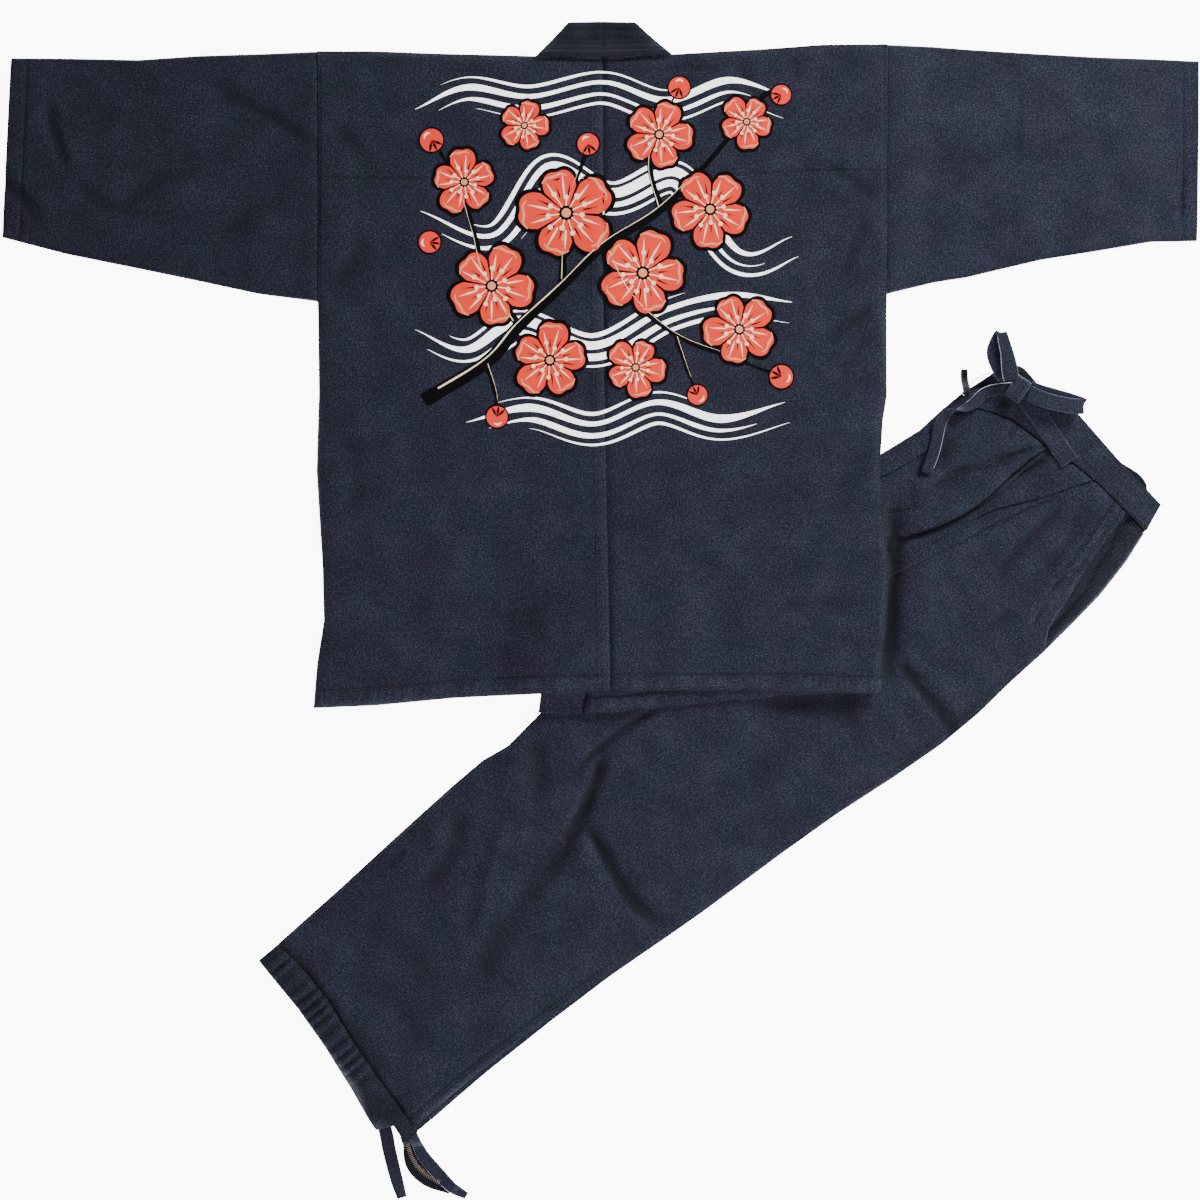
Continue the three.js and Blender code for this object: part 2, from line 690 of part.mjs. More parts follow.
// The columns of the left front: its inner edge, a pair beside each pleat's edge, and the outer edge.
function frontColumns(up, inner, outer) {
  const [first, second] = ["first", "second"].map((name) => read(PLEATS, "up", up, name));
  const stops = [inner, first - 1, first + PLEAT_STEP, second - 1, second + PLEAT_STEP, outer];
  return FRONT_CELLS.flatMap((count, band) =>
    Array.from({ length: count }, (_, k) => mix(stops[band], stops[band + 1], k / count)),
  ).concat(outer);
}

function layTrouserPanels() {
  for (const layer of LAYERS) {
    const isTop = layer.name === "left_front";
    const edge = (up, which) => {
      const spread = which === "outer" ? layer.ankleOuter * ease((ANKLE_SPREAD - up) / ANKLE_SPREAD) : 0;
      return read(LEG, "up", up, which) + layer[which] + spread;
    };
    const outerEdge = (up) => {
      const mouth = up > POCKET_MOUTH[0].up ? read(POCKET_MOUTH, "up", up, "side") : Infinity;
      return isTop ? Math.min(edge(up, "outer"), mouth) : edge(up, "outer");
    };
    const hem = (side) => (isTop ? read(ANKLE_HEM, "side", side, "up") : UNDER_HEM.hem);
    const casing = (side) => (isTop ? read(CASING_SEAM, "side", side, "up") : UNDER_HEM.seam);
    const seam = (side) => read(layer.waist.seam, "side", side, "up");
    const top = (side) => read(layer.waist.top, "side", side, "up");
    if (isTop) {
      layFacing(edge, seam);
      layAnkleTies();
    }

    const rows = layer.rows;
    const columns = isTop ? FRONT_COLUMNS : 6;
    const spot = (i, j) => {
      let up = mix(0, WAIST_SEAM, j / rows);
      let side = 0;
      for (let turn = 0; turn < 3; turn += 1) {
        const [inner, outer] = [edge(up, "inner"), outerEdge(up)];
        side = isTop ? frontColumns(up, inner, outer)[i] : mix(inner, outer, i / columns);
        up = mix(casing(side) + GAP + CHORD, seam(side), j / rows);
      }
      return { up, side };
    };
    layPanel(trousers, "trouser_" + layer.name, TROUSER_DENIM, {
      columns, rows,
      place: (i, j) => {
        const { up, side } = spot(i, j);
        return fromLeg(up, side);
      },
      relief: (i, j) => {
        const { up, side } = spot(i, j);
        return isTop ? frontRise(up, side, edge(up, "inner"), outerEdge(up)) : 0;
      },
    });
    layCasing(layer.name, edge, hem, casing, isTop);
    const sides = Array.from({ length: columns + 1 }, (_, i) => spot(i, rows).side);
    if (isTop) sides.push(edge(WAIST_CORNER, "outer"));
    layWaistband(layer.name, sides, edge, seam, top);
    laid.finishLayer();
  }
}

// The hem at the ankle, gathered along the tie inside it.
function layCasing(name, edge, hem, casing, isTop) {
  const [columns, rows] = [isTop ? CASING_WAVES * 4 : 8, 2];
  const place = (i, j) => {
    const side = mix(edge(0, "inner"), read(LEG, "up", 0, "outer"), i / columns);
    return fromLeg(mix(hem(side), casing(side), j / rows), side);
  };
  const relief = (i, j) => {
    if (!isTop) return 0;
    const across = i / columns;
    const fade = ease(CASING_FADE.inner * across) * ease(CASING_FADE.outer * (1 - across));
    const height = CASING_WAVE * (j === 1 ? 1 : CASING_FADE.edges);
    return height * fade * (1 + Math.sin((Math.PI * i) / 2));
  };
  layPanel(trousers, "ankle_casing_" + name, TROUSER_DENIM, {
    columns, rows, place, relief, thickness: HEMMED,
  });
}

// The waistband above one panel: a doubled band with elastic in it, joined at the panel's own corners.
function layWaistband(name, sides, edge, seam, top) {
  const [columns, rows] = [2 * (sides.length - 1), 2];
  const [first, last] = [sides[0], sides[sides.length - 1]];
  const place = (i, j) => {
    const height = j / rows;
    const [before, after] = [sides[Math.floor(i / 2)], sides[Math.ceil(i / 2)]];
    const foot = (before + after) / 2;
    const [inner, outer] = [edge(WAIST_TOP, "inner"), edge(WAIST_TOP, "outer")];
    const above = mix(inner, outer, (foot - first) / (last - first));
    const side = mix(foot, above, height);
    const low = (seam(before) + seam(after)) / 2 + GAP + CHORD;
    return fromLeg(mix(low, top(side), height), side);
  };
  layPanel(trousers, "waistband_" + name, TROUSER_DENIM, {
    columns, rows, place, thickness: HEMMED, relief: (i, j) => (j === 1 ? WAIST_PUFF : 0),
  });
}

// Two ends of the ankle tie come out of the top layer's casing, and the third lies below them.
function layAnkleTies() {
  layStrap("ankle_tie_under", ANKLE_TIES.ankle_tie_under);
  laid.finishLayer();
  layStrap("ankle_tie_back", ANKLE_TIES.ankle_tie_back);
  layStrap("ankle_tie_front", ANKLE_TIES.ankle_tie_front);
  laid.finishLayer();
}

// The piece behind the pocket mouth, which runs on under the front.
function layFacing(edge, seam) {
  const [columns, rows] = [4, 8];
  const place = (i, j) => {
    const height = j / rows;
    const up = mix(FACING.bottom, seam(FACING.side) - 1, height);
    const mouth = read(POCKET_MOUTH, "up", up, "side");
    const side = mix(mouth - FACING.underlap, edge(up, "outer") - 1, i / columns);
    return fromLeg(up, side);
  };
  layPanel(trousers, "pocket_facing", TROUSER_DENIM, { columns, rows, place });
  laid.finishLayer();
}

// The strip that edges the front opening, on the left front.
function layFly() {
  const [columns, rows] = [2, 8];
  const place = (i, j) => {
    const up = mix(FLY.bottom, FLY.top, j / rows);
    const inner = read(LEG, "up", up, "inner") + FLY.edge;
    const side = inner + (FLY.width * i) / columns;
    return fromLeg(up, side);
  };
  layPanel(trousers, "fly_placket", TROUSER_DENIM, { columns, rows, place });
  laid.finishLayer();
}

// A strap along a few middle points, laid on what is there.
function layStrap(name, table, options = {}) {
  const { rows = 8, columns = 2, thickness = STRAP } = options;
  const curve = new THREE.CatmullRomCurve3(table.map(({ x, y }) => new THREE.Vector3(x, y, 0)));
  const widths = new THREE.CatmullRomCurve3(table.map(({ width }, k) => new THREE.Vector3(k, width, 0)));
  const place = (i, j) => {
    const middle = curve.getPoint(j / rows);
    const along = curve.getTangent(j / rows);
    const off = widths.getPoint(j / rows).y * (i / columns - 0.5);
    return [middle.x + along.y * off, middle.y - along.x * off];
  };
  layPanel(ties, name, STRAP_DENIM, { columns, rows, place, thickness });
}

// A solid swept along stations: each has a middle, a unit vector across and a thickness vector.
function sweep(stations) {
  const points = stations.flatMap(({ middle, across, thick }) =>
    [[1, -1], [-1, -1], [-1, 1], [1, 1]].map(([a, t]) =>
      middle.clone().addScaledVector(across, a).addScaledVector(thick, t).toArray(),
    ),
  );
  const last = 4 * (stations.length - 1);
  const faces = [[0, 1, 2], [0, 2, 3], [last, last + 2, last + 1], [last, last + 3, last + 2]];
  for (let s = 0; s < stations.length - 1; s += 1) {
    for (let k = 0; k < 4; k += 1) {
      const [a, b] = [4 * s + k, 4 * s + ((k + 1) % 4)];
      faces.push([a, a + 4, b + 4], [a, b + 4, b]);
    }
  }
  return closed(points, faces);
}

// One loop of the bow: a strap that runs out over itself, turns at the tip and comes back skewed.
function makeLoop({ name, turn, start, length, shift, width, skew, drop }, base) {
  const angle = THREE.MathUtils.degToRad(turn);
  const out = new THREE.Vector3(Math.cos(angle), Math.sin(angle), 0);
  const left = new THREE.Vector3(-out.y, out.x, 0);
  const radius = (LOOP_GAP + STRAP) / 2;
  const origin = new THREE.Vector3(KNOT.x, KNOT.y, 0);
  const stations = [];
  const add = (along, side, height, tilt) => {
    const middle = origin.clone().addScaledVector(out, along).addScaledVector(left, side + shift);
    middle.z = height;
    const across = left.clone().multiplyScalar(width / 2);
    const thick = new THREE.Vector3(0, 0, Math.cos(tilt)).addScaledVector(out, Math.sin(tilt));
    stations.push({ middle, across, thick: thick.multiplyScalar(STRAP / 2) });
  };
  const heightAt = (t) => base + STRAP / 2 + radius - drop * ease(t);
  for (let k = 0; k < LOOP_STEPS; k += 1) {
    const t = k / LOOP_STEPS;
    add(mix(start, length - radius, t), 0, heightAt(t) + radius * ease(2 * t + 0.4), 0);
  }
  for (let k = 0; k <= LOOP_STEPS; k += 1) {
    const round = (Math.PI * k) / LOOP_STEPS;
    const side = (skew * (1 - Math.cos(round))) / 5;
    const along = length - radius + radius * Math.sin(round);
    add(along, side, heightAt(1) + radius * Math.cos(round), round);
  }
  for (let k = LOOP_STEPS - 1; k >= 0; k -= 1) {
    const t = k / LOOP_STEPS;
    const side = skew * mix(0.4, 1, ease(2 * (1 - t)) * ease(2 * t));
    add(mix(start, length - radius, t), side * ease(t * 3), heightAt(t) - radius, Math.PI);
  }
  put(ties, name, sweep(stations), STRAP_DENIM);
}

// The knot: a strap wrapped round the others, humped across its middle.
function layKnot() {
  const [columns, rows] = [4, 6];
  const [c, s] = [Math.cos(KNOT.turn), Math.sin(KNOT.turn)];
  const place = (i, j) => {
    const [a, w] = [KNOT.length * (j / rows - 0.5), KNOT.width * (i / columns - 0.5)];
    return [KNOT.x + a * c + w * s, KNOT.y + a * s - w * c];
  };
  layPanel(ties, "waist_tie_knot", STRAP_DENIM, {
    columns, rows, place, thickness: KNOT.height - 2,
    relief: (i, j) => 2 * Math.sin((Math.PI * j) / rows) * Math.sin((Math.PI * i) / columns),
  });
}

Object.entries(FRONT_TIES).forEach(([name, table]) => layStrap(name, table, { thickness: HEMMED }));
laid.finishLayer();
layTrouserPanels();
layFly();
layBody();
makeSleeve("sleeve_left", LEFT_SLEEVE, false);
makeSleeve("sleeve_right", RIGHT_SLEEVE, true);
layStrap("waist_loop", WAIST_LOOP, { rows: 4 });
layStrap("waist_tie_tail_right", RIGHT_TAIL, { rows: 10 });
laid.finishLayer();
layStrap("waist_tie_tail_left", LEFT_TAIL, { rows: 12 });
laid.finishLayer();
const bowBase = laid.at(laid.cover(SOFT_REACH), KNOT.x, KNOT.y);
layKnot();
LOOPS.forEach((loop) => makeLoop(loop, bowBase));

// The origin is on the surface, under the middle of the whole set.
const layout = new THREE.Group();
layout.add(jacket, trousers, ties);
const box = new THREE.Box3().setFromObject(layout);
const middle = box.getCenter(new THREE.Vector3());
layout.position.set(-middle.x, -middle.y, -box.min.z);

const samue = new THREE.Group();
samue.add(layout);

export default samue;
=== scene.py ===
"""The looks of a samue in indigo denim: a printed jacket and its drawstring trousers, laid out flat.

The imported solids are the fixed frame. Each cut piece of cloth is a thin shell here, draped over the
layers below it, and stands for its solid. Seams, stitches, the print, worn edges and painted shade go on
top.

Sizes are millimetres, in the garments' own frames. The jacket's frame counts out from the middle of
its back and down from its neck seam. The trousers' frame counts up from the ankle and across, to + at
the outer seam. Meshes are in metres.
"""

from __future__ import annotations

import logging
import math
from dataclasses import dataclass, field
from enum import Enum
from typing import Any, Callable, Sequence

import bmesh
import bpy
import numpy as np
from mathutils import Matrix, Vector
from mathutils.bvhtree import BVHTree

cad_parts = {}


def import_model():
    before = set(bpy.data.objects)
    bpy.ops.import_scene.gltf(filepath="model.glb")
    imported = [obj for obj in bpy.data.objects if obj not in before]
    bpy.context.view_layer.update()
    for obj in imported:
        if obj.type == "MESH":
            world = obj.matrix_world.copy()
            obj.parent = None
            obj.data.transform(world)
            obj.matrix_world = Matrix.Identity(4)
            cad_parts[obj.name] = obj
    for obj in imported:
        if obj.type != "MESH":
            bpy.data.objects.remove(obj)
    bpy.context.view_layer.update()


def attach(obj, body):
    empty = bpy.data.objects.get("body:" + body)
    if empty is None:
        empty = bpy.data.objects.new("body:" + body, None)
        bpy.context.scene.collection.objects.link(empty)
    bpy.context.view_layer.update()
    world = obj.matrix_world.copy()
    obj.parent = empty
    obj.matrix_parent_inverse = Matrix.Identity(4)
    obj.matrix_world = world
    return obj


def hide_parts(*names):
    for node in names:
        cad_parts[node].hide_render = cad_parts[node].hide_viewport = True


LOG = logging.getLogger("samue")

MM = 0.001
PLAN_SHIFT = (-0.75, 11.54)  # mm from the plan of the sizes below to the frame's origin
CLOTH = 1.2  # the wall of one layer
HEMMED = 2.4  # and of a doubled one
GAP = 0.35  # between two layers, and between two pieces at a seam
ROOM = 0.4  # more room where two pieces meet along a curved seam
TWILL_MM = 1.5  # between two lines of the twill
TWILL_SLOPE = math.radians(62)
NOISE_ROWS, NOISE_COLUMNS = 61, 67
NOISE_START = 500.0  # in lumps, so that no place has a number below 0
HIDDEN_STEP = 7.0  # between the rows of cloth that hardly shows
SHOWN_STEP = 3.6  # and of cloth that shows
EDGE_ROWS = (0.0, 0.8, 2.2)  # where a grid's rows lie inside each end
SEAM_ROWS = (-2.4, -1.0, 0.0, 1.0, 2.4)  # and beside a sewn line
ROUNDS = 4  # how often the two places of a point are worked out from each other
PETALS = 5
STAMENS = 11
FULL_TURN = (0, 360)
RIBBON_STEPS = 120  # along a brush stroke's path

Field = np.ndarray
Path = Sequence[tuple[float, float]]
Stops = tuple[tuple[float, ...], ...]
Radius = float | Callable[[float], float]


class Side(Enum):
    """The two halves of the jacket, as it lies."""

    LEFT = -1
    RIGHT = 1

    @property
    def word(self) -> str:
        """The side's word in the names of pieces."""
        return self.name.lower()

    def of(self, left: Any, right: Any) -> Any:
        """Whichever of two things is this side's."""
        return right if self is Side.RIGHT else left


class Slot(Enum):
    """The record's material slots."""

    JACKET = "jacket_denim"
    TROUSERS = "trouser_denim"
    STRAP = "strap_denim"


# Small helpers on arrays


def smooth(t: Field | float) -> Field:
    """Eases a share from 0 to 1, held outside that range."""
    t = np.clip(t, 0.0, 1.0)
    return t * t * (3 - 2 * t)


def mix(a: Field | float, b: Field | float, t: Field | float) -> Field:
    """Goes straight from a to b as t goes from 0 to 1."""
    return a + (b - a) * t


def hump(away: Field, half: float | Field) -> Field:
    """A round hump: 1 in its middle, a third at half, almost nothing at twice that."""
    return np.exp(-((away / half) ** 2))


def fade(away: Field, reach: float) -> Field:
    """Falls from 1 at an edge, to a third at the reach."""
    return np.exp(-away / reach)


def lumps(x: Field, y: Field, size: float, seed: int) -> Field:
    """Smooth uneven noise over the cloth, the same on each run.

    Args:
        x: Places across, in millimetres.
        y: Places along, in millimetres.
        size: The width of one lump in millimetres.
        seed: Which noise it is.

    Returns:
        Values from -1 to 1.
    """
    table = np.random.default_rng(seed).uniform(-1, 1, (NOISE_ROWS, NOISE_COLUMNS))
    gx, gy = np.asarray(x) / size + NOISE_START, np.asarray(y) / size + NOISE_START
    i, j = np.floor(gx).astype(int), np.floor(gy).astype(int)
    u, v = smooth(gx - i), smooth(gy - j)
    i, i_next = i % NOISE_ROWS, (i + 1) % NOISE_ROWS
    j, j_next = j % NOISE_COLUMNS, (j + 1) % NOISE_COLUMNS
    near = mix(table[i, j], table[i_next, j], u)
    far = mix(table[i, j_next], table[i_next, j_next], u)
    return mix(near, far, v)


def waver(y: Field, size: float, seed: int) -> Field:
    """The same noise, but only as it changes along the cloth."""
    return lumps(0 * y, y, size, seed)


def stations(length: float, step: float, lines: Sequence[float] = ()) -> Field:
    """Shares of a length at which a grid of cloth has its rows.

    Args:
        length: The whole length in millimetres.
        step: The usual distance between two rows.
        lines: Distances of sewn lines, which get closer rows.

    Returns:
        Rising shares from 0 to 1, closer at both ends and at each line.
    """
    close = [*EDGE_ROWS, *(length - row for row in EDGE_ROWS)]
    for line in lines:
        close += [line + row for row in SEAM_ROWS]
    even = np.linspace(0, length, max(2, round(length / step)) + 1)
    kept = [e for e in even if min(abs(e - c) for c in close) > 0.45 * step]
    return np.array(sorted(close + kept)) / length


def rounded_path(path: Path, rounds: int = 2) -> Field:
    """Cuts the corners of a path, so that it bends softly.

    Args:
        path: The points.
        rounds: How often each corner is cut.

    Returns:
        The new points, with both ends kept.
    """
    points = np.array(path, float)
    for _ in range(rounds):
        first, second = points[:-1], points[1:]
        cut = np.stack([mix(first, second, 0.25), mix(first, second, 0.75)], 1)
        points = np.concatenate([points[:1], cut.reshape(-1, points.shape[1])[1:-1], points[-1:]])
    return points


def spline(rows: Field, count: int) -> Field:
    """Runs a smooth curve through rows of numbers.

    Args:
        rows: One row of numbers for each stop.
        count: How many rows come back.

    Returns:
        Rows at even steps along the stops.
    """
    rows = np.asarray(rows, float)
    padded = np.concatenate([[2 * rows[0] - rows[1]], rows, [2 * rows[-1] - rows[-2]]])
    at = np.linspace(0, len(rows) - 1, count)
    k = np.minimum(at.astype(int), len(rows) - 2)
    t = (at - k)[:, None]
    a, b, c, d = (padded[k + n] for n in range(4))
    return 0.5 * (2 * b + (c - a) * t + (2 * a - 5 * b + 4 * c - d) * t**2
                  + (3 * b - a - 3 * c + d) * t**3)


@dataclass(frozen=True)
class Line:
    """A measure along another one, straight between its points, in millimetres."""

    points: Path

    def read(self, at: Field | float) -> Field:
        """Reads the measure at one or many places."""
        places, values = np.array(sorted(self.points), float).T
        return np.interp(at, places, values)


@dataclass(frozen=True)
class Fold:
    """One fold of the cloth, listed one by one: a ridge, or a trough where its height is below 0."""

    path: Path
    height: float
    width: float
    open_start: bool = False
    open_end: bool = False

    def rise(self, a: Field, b: Field) -> Field:
        """How much the fold raises each place.

        Args:
            a: The first coordinate of the path's frame.
            b: The second one.

        Returns:
            The rise in millimetres, below 0 in a trough.
        """
        points = rounded_path(self.path)
        steps = np.diff(points, axis=0)
        lengths = np.hypot(*steps.T)
        starts = np.concatenate([[0], np.cumsum(lengths)])
        best, along = np.full(a.shape, 1e9), np.zeros(a.shape)
        for k, (da, db) in enumerate(steps / lengths[:, None]):
            ra, rb = a - points[k, 0], b - points[k, 1]
            t = np.clip(ra * da + rb * db, 0, lengths[k])
            away = np.hypot(ra - t * da, rb - t * db)
            closer = away < best
            best = np.where(closer, away, best)
            along = np.where(closer, starts[k] + t, along)
        share = along / starts[-1]
        taper = np.ones(a.shape)
        if not self.open_start:
            taper = taper * smooth(0.1 + share * 3.5)
        if not self.open_end:
            taper = taper * smooth(0.1 + (1 - share) * 3.5)
        uneven = 1 + 0.18 * lumps(along, 0 * along, 23, int(abs(points[0, 0])))
        return self.height * taper * uneven * hump(best, self.width)


def folds_rise(folds: Sequence[Fold], a: Field, b: Field) -> Field:
    """Adds up what all the folds do to each place."""
    return sum((fold.rise(a, b) for fold in folds), np.zeros(a.shape))


def edge_distances(x: Field, y: Field) -> tuple[Field, Field, Field, Field]:
    """Measures a grid of cloth along its own rows and columns.

    Args:
        x: Places across, one for each row and column.
        y: Places along.

    Returns:
        The distances from the first column, the last column, the first row and the last row.
    """
    across = np.zeros(x.shape)
    across[:, 1:] = np.cumsum(np.hypot(np.diff(x, axis=1), np.diff(y, axis=1)), axis=1)
    down = np.zeros(x.shape)
    down[1:] = np.cumsum(np.hypot(np.diff(x, axis=0), np.diff(y, axis=0)), axis=0)
    return across, across[:, -1:] - across, down, down[-1:] - down


def swept(grid: Field, reach: int, pick: Callable[..., Field]) -> Field:
    """Takes the mean, or another pick, of each point of a grid and its neighbours.

    Args:
        grid: The grid.
        reach: How many points it takes on each side.
        pick: What is taken of them.

    Returns:
        The new grid.
    """
    for axis in (0, 1):
        pads = [(reach, reach) if k == axis else (0, 0) for k in (0, 1)]
        padded = np.pad(grid, pads, mode="edge")
        windows = np.lib.stride_tricks.sliding_window_view(padded, 2 * reach + 1, axis)
        grid = pick(windows, axis=-1)
    return grid


# Materials


def linear(colour: str) -> tuple[float, float, float, float]:
    """Turns an sRGB hex colour to linear red, green, blue and alpha."""
    parts = [int(colour[k:k + 2], 16) / 255 for k in (1, 3, 5)]
    return (*(c / 12.92 if c <= 0.04045 else ((c + 0.055) / 1.055) ** 2.4 for c in parts), 1.0)


def plug(tree: bpy.types.NodeTree, node: bpy.types.Node, inputs: dict[str | int, Any]) -> None:
    """Sets a node's inputs by name or number, and links each one whose value is an output."""
    for key, value in inputs.items():
        if isinstance(value, bpy.types.NodeSocket):
            tree.links.new(value, node.inputs[key])
        else:
            node.inputs[key].default_value = value


def add_node(tree: bpy.types.NodeTree, kind: str, inputs: dict[str | int, Any] | None = None,
             **settings: Any) -> bpy.types.Node:
    """Adds a node to a material.

    Args:
        tree: The material's node tree.
        kind: The node's type.
        inputs: A value, or the output that is linked, for each input by name or number.
        **settings: The node's own settings.

    Returns:
        The new node.
    """
    made = tree.nodes.new(kind)
    for key, value in settings.items():
        setattr(made, key, value)
    plug(tree, made, inputs or {})
    return made


def wave_scale(apart: float) -> float:
    """The scale of a wave texture whose bands are that many millimetres apart."""
    return 2 * math.pi / (20 * apart * MM)


def new_material(name: str) -> tuple[bpy.types.Material, bpy.types.NodeTree, bpy.types.Node]:
    """Makes a material with its shader.

    Args:
        name: The material's name.

    Returns:
        The material, its tree and its shader node.
    """
    material = bpy.data.materials.new(name)
    material.use_nodes = True
    tree = material.node_tree
    return material, tree, tree.nodes["Principled BSDF"]


@dataclass(frozen=True)
class Denim:
    """Indigo denim, 3/1 twill, piece-washed once: matt, dark, with a fine pepper of paler weft.

    Its patterns follow the cloth's own weft and warp. The twill lines are 1.5 mm apart, twice as
    coarse as the real 0.7 mm, so that they show in a close view.
    """

    name: str
    deep: str = "#090914"
    middle: str = "#1a1a2b"
    pale: str = "#4b4f63"
    worn: str = "#545b70"
    # the dark of the dye that seams keep, and of the painted shade in folds and at edges
    dyed: str = "#05050a"
    plum: str = "#251a2f"
    teal: str = "#16242b"
    pepper_mm: float = 1.8
    slub_mm: float = 1.9
    mottle_mm: float = 42.0

    def make(self) -> bpy.types.Material:
        """Builds the material."""
        material, tree, shader = new_material(self.name)
        cloth = add_node(tree, "ShaderNodeTexCoord").outputs["UV"]
        pepper = add_node(tree, "ShaderNodeTexNoise", {
            "Vector": cloth, "Scale": 1 / (self.pepper_mm * MM), "Detail": 3.0, "Roughness": 0.7,
        }).outputs["Fac"]
        yarn = add_node(tree, "ShaderNodeMapping", {"Vector": cloth, "Scale": (1.0, 0.34, 1.0)})
        slub = add_node(tree, "ShaderNodeTexNoise", {
            "Vector": yarn.outputs[0], "Scale": 1 / (self.slub_mm * MM), "Detail": 2.0,
        }).outputs["Fac"]
        slope = add_node(tree, "ShaderNodeMapping", {
            "Vector": cloth, "Rotation": (0.0, 0.0, TWILL_SLOPE),
        })
        twill = add_node(tree, "ShaderNodeTexWave", {
            "Vector": slope.outputs[0], "Scale": wave_scale(TWILL_MM), "Distortion": 0.6,
            "Detail": 1.0, "Detail Scale": 0.6,
        }, wave_type="BANDS", bands_direction="X").outputs["Fac"]
        mottle = add_node(tree, "ShaderNodeTexNoise", {
            "Vector": cloth, "Scale": 1 / (self.mottle_mm * MM), "Detail": 3.0, "Roughness": 0.6,
        })
        # The yarns together: mostly pepper, some slub, a little twill.
        with_slub = add_node(tree, "ShaderNodeMath", {0: slub, 1: 0.26, 2: -0.13},
                             operation="MULTIPLY_ADD").outputs[0]
        with_twill = add_node(tree, "ShaderNodeMath", {0: twill, 1: 0.12, 2: with_slub},
                              operation="MULTIPLY_ADD").outputs[0]
        broad = add_node(tree, "ShaderNodeMath", {0: mottle.outputs["Fac"], 1: 0.20, 2: -0.16},
                         operation="MULTIPLY_ADD").outputs[0]
        yarns = add_node(tree, "ShaderNodeMath", {0: pepper, 1: with_twill}, operation="ADD").outputs[0]
        yarns = add_node(tree, "ShaderNodeMath", {0: yarns, 1: broad}, operation="ADD").outputs[0]
        shades = add_node(tree, "ShaderNodeValToRGB", {"Fac": yarns})
        shades.color_ramp.elements[0].position = 0.36
        shades.color_ramp.elements[0].color = linear(self.deep)
        shades.color_ramp.elements[1].position = 0.685
        shades.color_ramp.elements[1].color = linear(self.pale)
        shades.color_ramp.elements.new(0.50).color = linear(self.middle)
        # Patches lean a little to plum and to teal, as indigo does where it was washed unevenly.
        hue = add_node(tree, "ShaderNodeTexNoise", {
            "Vector": cloth, "Scale": 1 / (1.25 * self.mottle_mm * MM), "Detail": 2.0,
        }, noise_dimensions="2D").outputs["Fac"]
        tints = add_node(tree, "ShaderNodeValToRGB", {"Fac": hue})
        tints.color_ramp.elements[0].position = 0.36
        tints.color_ramp.elements[0].color = linear(self.plum)
        tints.color_ramp.elements[1].position = 0.64
        tints.color_ramp.elements[1].color = linear(self.teal)
        tinted = add_node(tree, "ShaderNodeMix", {
            0: 0.30, 6: shades.outputs["Color"], 7: tints.outputs["Color"],
        }, data_type="RGBA")
        # Wear shows first on the highest yarns.
        wear = add_node(tree, "ShaderNodeAttribute", attribute_name="wear").outputs["Fac"]
        high = add_node(tree, "ShaderNodeMath", {0: pepper, 1: 0.9, 2: -0.45},
                        operation="MULTIPLY_ADD").outputs[0]
        rubbed = add_node(tree, "ShaderNodeMath", {0: wear, 1: high}, operation="ADD").outputs[0]
        rubbed = add_node(tree, "ShaderNodeMapRange", {
            "Value": rubbed, "From Min": 0.12, "From Max": 1.05,
        }, interpolation_type="SMOOTHSTEP").outputs[0]
        coloured = add_node(tree, "ShaderNodeMix", {
            0: rubbed, 6: tinted.outputs[2], 7: linear(self.worn),
        }, data_type="RGBA")
        # Below 0 the same attribute darkens the cloth towards the darkest colour: the dye that seams keep,
        # and painted shade in folds, creases and along edges.
        kept = add_node(tree, "ShaderNodeMapRange", {
            "Value": wear, "From Min": 0.0, "From Max": -1.0,
        }).outputs[0]
        coloured = add_node(tree, "ShaderNodeMix", {
            0: kept, 6: coloured.outputs[2], 7: linear(self.dyed),
        }, data_type="RGBA")
        relief = add_node(tree, "ShaderNodeMath", {0: twill, 1: 0.55, 2: pepper},
                          operation="MULTIPLY_ADD").outputs[0]
        bump = add_node(tree, "ShaderNodeBump", {
            "Strength": 0.55, "Distance": 0.35 * MM, "Height": relief,
        })
        plug(tree, shader, {
            "Base Color": coloured.outputs[2], "Normal": bump.outputs["Normal"], "Roughness": 0.92,
            "IOR": 1.46, "Specular IOR Level": 0.25, "Sheen Weight": 0.12, "Sheen Roughness": 0.55,
            "Sheen Tint": linear("#c9d2ea"),
        })
        return material


